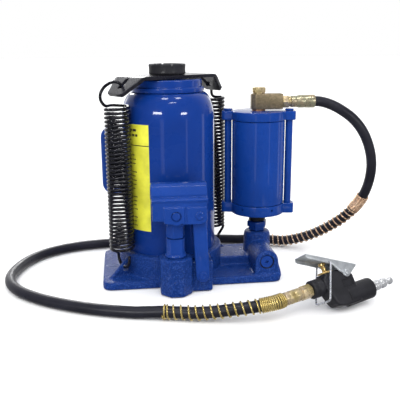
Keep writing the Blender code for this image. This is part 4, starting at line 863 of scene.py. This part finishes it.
def stretched(name, node, line, wire_r, finish, low, high):
    """A coil of wire along a line, baked in place and put on no body; it stands for a node. Weights from low
    to high along the wire are worked out but not used.
    """
    sides = 12
    spring = piece(name, sweep(line, wire_r, sides, 0.6 * MM), finish, None, crease=80)
    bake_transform(spring)
    weights = []
    for point in line:
        weights += [min(max((point.z - low) / (high - low), 0.0), 1.0)] * sides
    weights += [0.0, 1.0]
    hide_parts(node)
    return spring

def return_spring(name, node, side, last_turn, upper_hook):
    line = [turn(side) @ point for point in spring_line(last_turn, upper_hook)]
    return stretched(name, node, line, WIRE_R, SPRING_BLACK, SPRING_LOW, SPRING_HIGH)

return_spring("pull_spring_left", "return_spring_left", SPRING_DEGREES + 180, 0.84,
    ((89.5, -8.5, 225), (90.5, -8, 232), (87, -6.5, 239.5), (81, -4, 244.5), (74.5, -1.5, 246.5),
    (69, 0, 244.5), (66, 0, 240), (63, 0, 235.5)))
return_spring("pull_spring_right", "return_spring_right", SPRING_DEGREES, 0.59,
    ((81.5, 12, 225), (81.5, 12, 231), (79, 9.5, 238.5), (75.5, 5.5, 243.5), (71.5, 2, 245.5),
    (68, 0.3, 243.5), (65.5, 0, 239.5), (63, 0, 235.5)))

MOTOR_COIL_R, MOTOR_WIRE_R, MOTOR_TURNS = 17.5 * MM, 1.25 * MM, 8
MOTOR_COIL_LOW, MOTOR_COIL_HIGH = 90 * MM, 173 * MM
motor_line = [Vector((MOTOR_X + MOTOR_COIL_R * math.cos(math.tau * k / STEPS_PER_TURN),
    MOTOR_COIL_R * math.sin(math.tau * k / STEPS_PER_TURN), MOTOR_COIL_LOW
    + (MOTOR_COIL_HIGH - MOTOR_COIL_LOW) * k / (MOTOR_TURNS * STEPS_PER_TURN)))
    for k in range(MOTOR_TURNS * STEPS_PER_TURN + 1)]
stretched("motor_coil", "motor_return_spring", motor_line, MOTOR_WIRE_R, STEEL,
    MOTOR_COIL_LOW, MOTOR_COIL_HIGH)

# ---- carry handle
GRIP_X, GRIP_LOW, GRIP_HIGH, GRIP_R, GRIP_BEND = -79.5 * MM, 110 * MM, 186 * MM, 4.5 * MM, 12 * MM
grip_line = soften([(-58.0 * MM, 0, GRIP_LOW), (GRIP_X, 0, GRIP_LOW), (GRIP_X, 0, GRIP_HIGH),
    (-58.0 * MM, 0, GRIP_HIGH)], GRIP_BEND, 12)
grip = merged(sweep(grip_line, GRIP_R, 32, 0.0), *[moved(lathe(mm((0, 0.1), (7.0, 0.1), (6.6, 1.0),
    (5.4, 2.2), (4.6, 3.4), (4.0, 3.8), (0, 3.8)), 40, 0.4 * MM, 2), at(-57.6 * MM, 0, z) @ turn(-90, "Y"))
    for z in (GRIP_LOW, GRIP_HIGH)])
piece("carry_grip", grip, FORGED_BLUE, "base", "carry_handle", crease=50)

# ---- hand pump
PIVOT = (0, PUMP_Y, 98.5 * MM)
ON_PIVOT = at(*PIVOT) @ FRONTWARD
flats = arc((0, 0), 11.1 * MM, -52, 52, 12) + arc((0, 0), 11.1 * MM, 128, 232, 12)
pump = loose("pump", moved(prism(flats, 47 * MM, 68.8 * MM, 0, 0.8 * MM), OVER_PUMP))
boolean(pump, [loose("pump_stub", moved(lathe(mm((0, 20), (10.0, 20), (10.0, 46.3), (12.6, 46.3),
    (12.8, 48.0), (11.6, 50.2), (0, 50.2)), 64, 0.6 * MM), OVER_PUMP))], "UNION")
boolean(pump, [rod(OVER_PUMP, [(7.3, 10), (0, 80)], 48)])
piece("pump_barrel", rounded_edges(pump, 0.3 * MM, 2, 50), FORGED_BLUE, "base", "pump_cylinder", crease=30)

tongue = (mm((-9.8, -14), (9.8, -14)) + arc((0, 0), 9.8 * MM, 0, 180, 24))
plunger = cast([loose("block", moved(prism(polygon(6, 10.0 * MM, -106), -29 * MM, -13 * MM, 0.6 * MM,
    1.2 * MM), at(*PIVOT))), loose("tongue", moved(prism(tongue, -11 * MM, 11 * MM, 0, 0.8 * MM),
    ON_PIVOT))], 0.6 * MM, 3)
boolean(plunger, [rod(at(*PIVOT), [(7.0, -74), (0, -24)], 64)], "UNION")
boolean(plunger, [rod(ON_PIVOT, [(5.3, -20), (0, 20)], 40)])
piece("plunger_head", plunger, FORGED_BLUE, "pump_plunger", "pump_plunger", crease=38)

SOCKET_LEFT, SOCKET_RIGHT, SOCKET_Z = -28 * MM, 36.5 * MM, 122 * MM
LINK_TOP = (27 * MM, PUMP_Y, 98.5 * MM)
LINK_FOOT = (31 * MM, PUMP_Y, 23 * MM)
ON_LINK_TOP, ON_LINK_FOOT = at(*LINK_TOP) @ FRONTWARD, at(*LINK_FOOT) @ FRONTWARD
cheek = (mm((35.3, 21), (-27.2, 21), (-27.2, -5)) + arc((0, 0), 10.8 * MM, 215, 290, 12)
    + [(20 * MM, -10 * MM)] + arc((27.5 * MM, -1.5 * MM), 8.5 * MM, 280, 350, 10))
TUBE_SECTION = [(-17.6, 116.0), (-17.8, 117.6), (-16.4, 118.9), (-12.5, 119.4), (-12.7, 122.3),
    (-7.6, 132.4), (-4.4, 134.4), (4.4, 134.4), (7.6, 132.4), (12.7, 122.3), (12.5, 119.4), (16.4, 118.9),
    (17.8, 117.6), (17.6, 116.0), (15.6, 112.6), (-15.6, 112.6)]
tube = prism([(-y * MM, z * MM) for y, z in TUBE_SECTION], SOCKET_LEFT, SOCKET_RIGHT, 0.5 * MM, 0.6 * MM)
tube_turn = Matrix(((0, 0, 1, 0), (-1, 0, 0, PUMP_Y), (0, 1, 0, 0), (0, 0, 0, 1)))
solids = [loose("tube", moved(tube, tube_turn))]
for face, back in ((11.5, 16.5), (-16.5, -11.5)):
    solids.append(loose("cheek", moved(prism(cheek, face * MM, back * MM, 0, 0.5 * MM), ON_PIVOT)))
swell = mm((-13.8, 10.6), (-13.8, -8.5)) + arc((0, 0), 10.8 * MM, 235, 300, 10) + mm((9.2, -8.0),
    (9.2, 10.6))
ear = (mm((12.4, 10.2), (12.4, -9.6), (20, -10)) + arc((27.5 * MM, -1.5 * MM), 8.5 * MM, 280, 350, 10)
    + [(35.3 * MM, 10.2 * MM)])
for outline in (swell, ear):
    solids.append(loose("swell", moved(prism(outline, 14 * MM, 18.2 * MM, 0, 0.9 * MM), ON_PIVOT)))
    solids.append(loose("swell", moved(prism(outline, -18.2 * MM, -14 * MM, 0, 0.9 * MM), ON_PIVOT)))
socket = cast(solids, 0.6 * MM, 3)
boolean(socket, [rod(at(0, PUMP_Y, SOCKET_Z) @ RIGHTWARD, [(9.8, -50), (0, 60)], 64),
    rod(ON_PIVOT, [(5.3, -30), (6.2, 16.6), (0, 30)], 40), rod(ON_LINK_TOP, [(4.3, -30), (0, 30)], 40)])
piece("bar_socket", socket, FORGED_BLUE, "handle_socket", "handle_socket", crease=40)

def headed_pin(name, node, body, radius, head, tail, seat, place):
    profile = [(0, tail), (radius - 0.6, tail), (radius, tail + 0.6), (radius, seat + 0.3),
        (head, seat + 0.3), (head, seat + 0.8), (head - 0.8, seat + 1.4), (head * 0.45, seat + 1.5),
        (head * 0.36, seat + 1.1), (0, seat + 1.1)]
    piece(name, moved(lathe(mm(*profile), 40, 0.3 * MM, 2), at(*place) @ FRONTWARD), PIN_BLUE, body, node,
        crease=35)

piece("pivot_pin", moved(lathe(mm((0, -19.5), (4.4, -19.5), (5.0, -18.9), (5.0, 17.2), (4.4, 17.9),
    (0, 18.0)), 48, 0.3 * MM, 2), ON_PIVOT), PIN_BLUE, "handle_socket", "plunger_pin", crease=35)
headed_pin("link_pin_top", "link_upper_pin", "handle_socket", 4.0, 5.2, -19.5, 18.0, LINK_TOP)
headed_pin("link_pin_foot", "link_lower_pin", "base", 4.0, 5.2, -18.0, 11.1, LINK_FOOT)

link_rise, link_run = LINK_TOP[2] - LINK_FOOT[2], LINK_FOOT[0] - LINK_TOP[0]
link_length = math.hypot(link_rise, link_run)
link_turn = ON_LINK_FOOT @ turn(math.degrees(math.atan2(link_run, link_rise)))
for side, near, far in (("front", 3.8, 11.1), ("rear", -11.1, -3.8)):
    bar = arc((0, 0), 8 * MM, 180, 360, 20) + arc((0, link_length), 8 * MM, 0, 180, 20)
    bar = loose("bar", moved(prism(bar, near * MM, far * MM, 0, 1.1 * MM, 3), link_turn))
    boolean(bar, [rod(ON_LINK_FOOT, [(4.3, -20), (0, 20)], 40), rod(ON_LINK_TOP, [(5.5, -20), (0, 20)],
        40)])
    piece(f"link_bar_{side}", bar, FORGED_BLUE, "pump_link", f"pump_link_{side}", crease=35)

# ---- release valve
release = loose("release", moved(lathe(mm((0, 28), (2, 28), (6.6, 33), (6.6, 58.4), (7.8, 58.4),
    (7.8, 60.6), (7.2, 61.2), (6.0, 61.2), (5.6, 61.0), (0, 61.0)), 64, 0.25 * MM, 2), ON_RELEASE))
for angle in (20, 110):
    boolean(release, [loose("cross", moved(prism(box_outline(-2.3 * MM, 2.3 * MM, -0.65 * MM, 0.65 * MM),
        58.9 * MM, 64 * MM, 0.25 * MM), ON_RELEASE @ turn(angle)))])
piece("release_screw", release, FORGED_BLUE, "release_valve", "release_valve", crease=35)
# a black rubber ring in the gap round the release screw's head: a seal, whose black also paints the gap's
# shadow
piece("release_seal_and_gap_shade", moved(lathe([((8.4 + 0.5 * math.cos(a)) * MM, (60.4 + 0.6 * math.sin(a)) * MM)
    for a in (math.radians(30 * k) for k in range(12))], 64), ON_RELEASE), SEAL_RUBBER, "base", crease=80)

# ---- air motor
CAP_R, EAR_REACH, EAR_HALF, EAR_TIP_HALF, EAR_ANGLE = 34.2 * MM, 46.5 * MM, 8.5 * MM, 8.1 * MM, -12
TIE_AT = 38.5 * MM
meet = math.degrees(math.asin(EAR_HALF / CAP_R))
tip, ear = EAR_REACH - 4 * MM, EAR_TIP_HALF - 4 * MM
cap_outline = (arc((0, 0), CAP_R, meet, 180 - meet, 40) + arc((-tip, ear), 4 * MM, 90, 180, 8)
    + arc((-tip, -ear), 4 * MM, 180, 270, 8) + arc((0, 0), CAP_R, 180 + meet, 360 - meet, 40)
    + arc((tip, -ear), 4 * MM, 270, 360, 8) + arc((tip, ear), 4 * MM, 0, 90, 8))
ON_MOTOR = OVER_MOTOR @ turn(EAR_ANGLE)
for label, low_z, high_z, bore in (("bottom", 75, 88, 5.4), ("top", 195, 206, 5.2)):
    cap = loose("cap", moved(prism(cap_outline, low_z * MM, high_z * MM, 0, 0.9 * MM, 3), ON_MOTOR))
    holes = [moved(stepped([(bore, 50), (0, 230)], 40), OVER_MOTOR)]
    holes += [moved(stepped([(4.9, 50), (0, 230)], 32), ON_MOTOR @ at(x=side * TIE_AT)) for side in (-1, 1)]
    if label == "bottom":
        holes += [moved(stepped([(1.3, 31.7), (0, 36)], 20), at(MOTOR_X, 0, 83 * MM) @ turn(angle)
            @ RIGHTWARD) for angle in (-135.6, -69.6)]
    boolean(cap, [loose("holes", merged(*holes))])
    piece(f"motor_cap_{label}", cap, MOTOR_BLUE, "base", f"motor_{label}_cap", crease=32)
piece("motor_barrel", moved(lathe(mm((30.5, 88.3), (32.5, 88.3), (33.3, 89.1), (33.3, 193.9), (32.5, 194.7),
    (30.5, 194.7)), 128, 0.3 * MM, 3), OVER_MOTOR), MOTOR_BLUE, "base", "motor_cylinder", crease=30)
for label, side in (("left", -1), ("right", 1)):
    shank = lathe(mm((0, 74), (4.0, 74), (4.6, 74.6), (4.6, 206.4), (0, 206.4)), 32)
    head = prism(polygon(6, 5.1 * MM, 15), 206.4 * MM, 208.7 * MM, 0.3 * MM, 0.5 * MM)
    piece(f"tie_screw_{label}", moved(merged(shank, head), ON_MOTOR @ at(x=side * TIE_AT)), MOTOR_BLUE,
        "base", f"tie_bolt_{label}", crease=32)
piece("threaded_neck", moved(lathe(mm((5.5, 74.7), (10.0, 74.7), (10.7, 74.0), (10.7, 64.0), (8.2, 63.2),
    (8.2, 36.0), (5.5, 36.0)), 64, 0.3 * MM, 2), OVER_MOTOR), NECK_BLACK, "base", "motor_neck")
lock_nut = loose("lock_nut", moved(prism(polygon(6, 11.8 * MM, 10), 55.2 * MM, 62.8 * MM, 0.3 * MM,
    1.3 * MM, 4), OVER_MOTOR))
lower_hex = loose("lower_hex", moved(prism(polygon(6, 9.9 * MM, 10), 50.6 * MM, 56.4 * MM, 0.3 * MM,
    0.4 * MM), OVER_MOTOR))
boolean(lock_nut, [lower_hex], "UNION")
boolean(lock_nut, [rod(OVER_MOTOR, [(8.5, 40), (0, 80)], 48)])
piece("jam_nut", lock_nut, FORGED_BLUE, "base", "motor_lock_nut", crease=32)

# ---- air inlet on top of the motor
block = [(143.7, 8.75), (109.0, 8.75), (104.5, 4.25), (104.5, -4.25), (109.0, -8.75), (143.7, -8.75)]
block = loose("block", prism(mm(*block), 208 * MM, 227 * MM, 0.6 * MM, 0.9 * MM, 3))
boolean(block, [rod(OVER_MOTOR, [(5.2, 200), (0, 240)], 40), rod(ON_INLET, [(6.0, 125), (0, 150)], 40)])
piece("inlet_block", block, BLOCK_ZINC, "base", "banjo_block", crease=35)
piece("seal_washer", moved(lathe(mm((5.2, 206.3), (8.5, 206.3), (8.5, 207.7), (5.2, 207.7)), 56, 0.3 * MM,
    3), OVER_MOTOR), COPPER, "base", "banjo_washer")
bolt = merged(prism(polygon(6, 7.15 * MM, -12.6), 228.4 * MM, 235 * MM, 0.3 * MM, 0.9 * MM, 4),
    lathe(mm((0, 196.5), (4.8, 196.5), (4.8, 227.3), (7.4, 227.3), (7.4, 228.6), (0, 228.6)), 56, 0.2 * MM,
    2))
piece("inlet_bolt", moved(bolt, OVER_MOTOR), FITTING_ZINC, "base", "banjo_bolt", crease=32)
nut = merged(prism(polygon(6, 7.2 * MM, 30), 144.0 * MM, 152.6 * MM, 0.3 * MM, 0.9 * MM, 4),
    lathe(mm((0, 129), (5.6, 129), (5.6, 151.6), (6.4, 152.4), (6.4, 155.0), (0, 155.0)), 56, 0.3 * MM, 2))
piece("hose_swivel_nut", moved(nut, ON_INLET), FITTING_ZINC, "base", "hose_nut", crease=32)

# ---- blank data label
LABEL_R, LABEL_SHEET = TANK_R + 0.12 * MM, 0.14 * MM

def curved_patch(start, end, bottom, top, radius, sheet, steps=24):
    """A thin sheet bent round the reservoir, between two angles in degrees."""
    shape = bmesh.new()
    rows = []
    for k in range(steps + 1):
        a = math.radians(start + (end - start) * k / steps)
        rows.append([shape.verts.new((r * math.cos(a), r * math.sin(a), z))
            for r, z in ((radius, bottom), (radius, top), (radius + sheet, top), (radius + sheet, bottom))])
    for near, far in zip(rows, rows[1:]):
        for k in range(4):
            shape.faces.new((near[k], near[(k + 1) % 4], far[(k + 1) % 4], far[k]))
    shape.faces.new(rows[0])
    shape.faces.new(rows[-1][::-1])
    return shape

LABEL_FROM, LABEL_TO, LABEL_LOW, LABEL_HIGH = -151.0, -118.0, 68 * MM, 197 * MM
piece("blank_label", curved_patch(LABEL_FROM, LABEL_TO, LABEL_LOW, LABEL_HIGH, LABEL_R, LABEL_SHEET),
    LABEL_YELLOW, "base", crease=60)
INK_R, INK = LABEL_R + LABEL_SHEET, 0.04 * MM
marks = [curved_patch(LABEL_FROM, LABEL_TO, 171.6 * MM, 172.6 * MM, INK_R, INK)]
MARKS_FROM, WORD_GAP = -147.0, 1.1
BOLD_TALL, LINE_TALL, LINE_PITCH = 2.9 * MM, 1.2 * MM, 5.1
for top, words in ((191.5, (4.6, 5.8)), (185.5, (3.4, 4.2, 3.6))):
    place = MARKS_FROM
    for word in words:
        marks.append(curved_patch(place, place + word, top * MM - BOLD_TALL, top * MM, INK_R, INK, 5))
        place += word + WORD_GAP
LINE_ENDS = (0, 3.4, 5.8, 5.0, 0, 6.6, 4.2, 6.0, 5.2, 3.0, 0, 6.4, 5.6, 4.4, 6.2, 0, 5.8, 3.8, 5.0)
for row, end in enumerate(LINE_ENDS):
    if end:
        top = (166 - LINE_PITCH * row) * MM
        marks.append(curved_patch(MARKS_FROM, -143.4, top - LINE_TALL, top, INK_R, INK, 4))
        marks.append(curved_patch(-142.8, -142.8 + end, top - LINE_TALL, top, INK_R, INK, 5))
piece("label_marks", merged(*marks), LABEL_INK, "base", crease=60)

# ---- CAD pieces that stay, mostly inside
for node, finish in (("tank_gasket", SEAL_RUBBER), ("hydraulic_cylinder", STEEL),
        ("ram_piston_seal", SEAL_RUBBER), ("motor_piston", ALLOY), ("motor_piston_seal", SEAL_RUBBER),
        ("air_plunger", STEEL)):
    for place in frame["nodes"][node].material_slots:
        place.material = finish

# ---- floor, light and surroundings
floor_shape = bmesh.new()
bmesh.ops.create_circle(floor_shape, cap_ends=True, segments=96, radius=12)
floor = loose("floor", floor_shape, at(z=-0.2 * MM))
floor_finish = new_material("floor_paper", Roughness=0.9, Specular_IOR_Level=0.1)
into(floor_finish, "Base Color", ramp(floor_finish, noise(floor_finish, 3, 2),
    [(0.3, (0.90, 0.90, 0.905)), (0.7, (0.93, 0.93, 0.93))]))
floor.data.materials.append(floor_finish)
floor.visible_glossy = False

LIT_POINT = Vector((0.03, 0, 0.12))

def lamp(name, kind, azimuth, elevation, power):
    """A light from a direction in degrees: 0 is from the right, -90 from the front."""
    light = bpy.data.lights.new(name, kind)
    light.energy = power
    made = bpy.data.objects.new(name, light)
    bpy.context.scene.collection.objects.link(made)
    a, e = math.radians(azimuth), math.radians(elevation)
    towards = Vector((math.cos(a) * math.cos(e), math.sin(a) * math.cos(e), math.sin(e)))
    made.rotation_euler = towards.to_track_quat("Z", "Y").to_euler()
    return made, towards

def sun(name, azimuth, elevation, strength, spread_angle):
    """A broad light that lights surfaces and doesn't show in them."""
    made, _ = lamp(name, "SUN", azimuth, elevation, strength)
    made.data.angle = math.radians(spread_angle)
    made.visible_glossy = False

def softbox(name, azimuth, elevation, distance, width, height, power):
    """A rectangular light that shows only as a reflection."""
    made, towards = lamp(name, "AREA", azimuth, elevation, power)
    made.data.shape = "RECTANGLE"
    made.data.size, made.data.size_y = width, height
    made.location = LIT_POINT + towards * distance
    made.visible_diffuse = False
    made.visible_camera = False

sun("sky_front", -94, 48, 1.9, 50)
sun("sky_left", -160, 40, 1.0, 60)
sun("sky_right", -25, 40, 1.0, 60)
sun("sky_back", 95, 45, 1.3, 60)
softbox("key_left", -121, 17, 1.5, 0.54, 0.12, 5.0)
softbox("key_right", -56, 15, 1.5, 0.38, 0.10, 3.0)
softbox("high_left", -112, 68, 1.5, 0.30, 0.26, 3.5)
softbox("high_right", -45, 68, 1.5, 0.26, 0.24, 3)
softbox("bar_front", -82, 46, 1.5, 0.40, 0.07, 1.5)
softbox("strip_left", -110, -5, 1.4, 0.20, 0.5, 0.17)
softbox("strip_middle", -51, -5, 1.4, 0.10, 0.5, 0.10)
softbox("strip_right", -1, -5, 1.4, 0.2, 0.6, 0.3)
softbox("strip_far_left", -165, -5, 1.4, 0.2, 0.6, 0.3)
softbox("strip_back_left", 120, 5, 1.4, 0.2, 0.6, 0.5)
softbox("strip_back_right", 60, 5, 1.4, 0.2, 0.6, 0.5)
softbox("key_back", 100, 25, 1.5, 0.5, 0.2, 6)

world = bpy.data.worlds.new("studio")
bpy.context.scene.world = world
world.use_nodes = True
world.node_tree.nodes.clear()
output = add(world, "ShaderNodeOutputWorld")
pick_camera, pick_glossy = (add(world, "ShaderNodeMixShader") for _ in range(2))
rays = add(world, "ShaderNodeLightPath")
seen = add(world, "ShaderNodeBackground", Color=(1, 1, 1, 1), Strength=1.0)
ambient = add(world, "ShaderNodeBackground", Color=(0.96, 0.97, 1.0, 1), Strength=0.55)
mirrored = add(world, "ShaderNodeBackground")
direction = add(world, "ShaderNodeTexCoord")
facing = add(world, "ShaderNodeVectorMath", operation="DOT_PRODUCT")
BRIGHT_FROM = math.radians(86)
facing.inputs[1].default_value = (0.5 * math.cos(BRIGHT_FROM), 0.5 * math.sin(BRIGHT_FROM), 0.04)
centred = add(world, "ShaderNodeMath")
centred.inputs[1].default_value = 0.5
shade = ramp(world, centred.outputs["Value"],
    [(0.27, (0.06, 0.06, 0.07)), (0.5, (0.10, 0.10, 0.12)), (1.0, (1, 1, 1))])
for source, target in ((direction.outputs["Generated"], facing.inputs[0]),
        (facing.outputs["Value"], centred.inputs[0]), (shade, mirrored.inputs["Color"]),
        (rays.outputs["Is Glossy Ray"], pick_glossy.inputs["Fac"]),
        (ambient.outputs[0], pick_glossy.inputs[1]), (mirrored.outputs[0], pick_glossy.inputs[2]),
        (rays.outputs["Is Camera Ray"], pick_camera.inputs["Fac"]),
        (pick_glossy.outputs[0], pick_camera.inputs[1]), (seen.outputs[0], pick_camera.inputs[2]),
        (pick_camera.outputs[0], output.inputs["Surface"])):
    wire_up(world, source, target)
bpy.context.scene.view_settings.view_transform = "Standard"
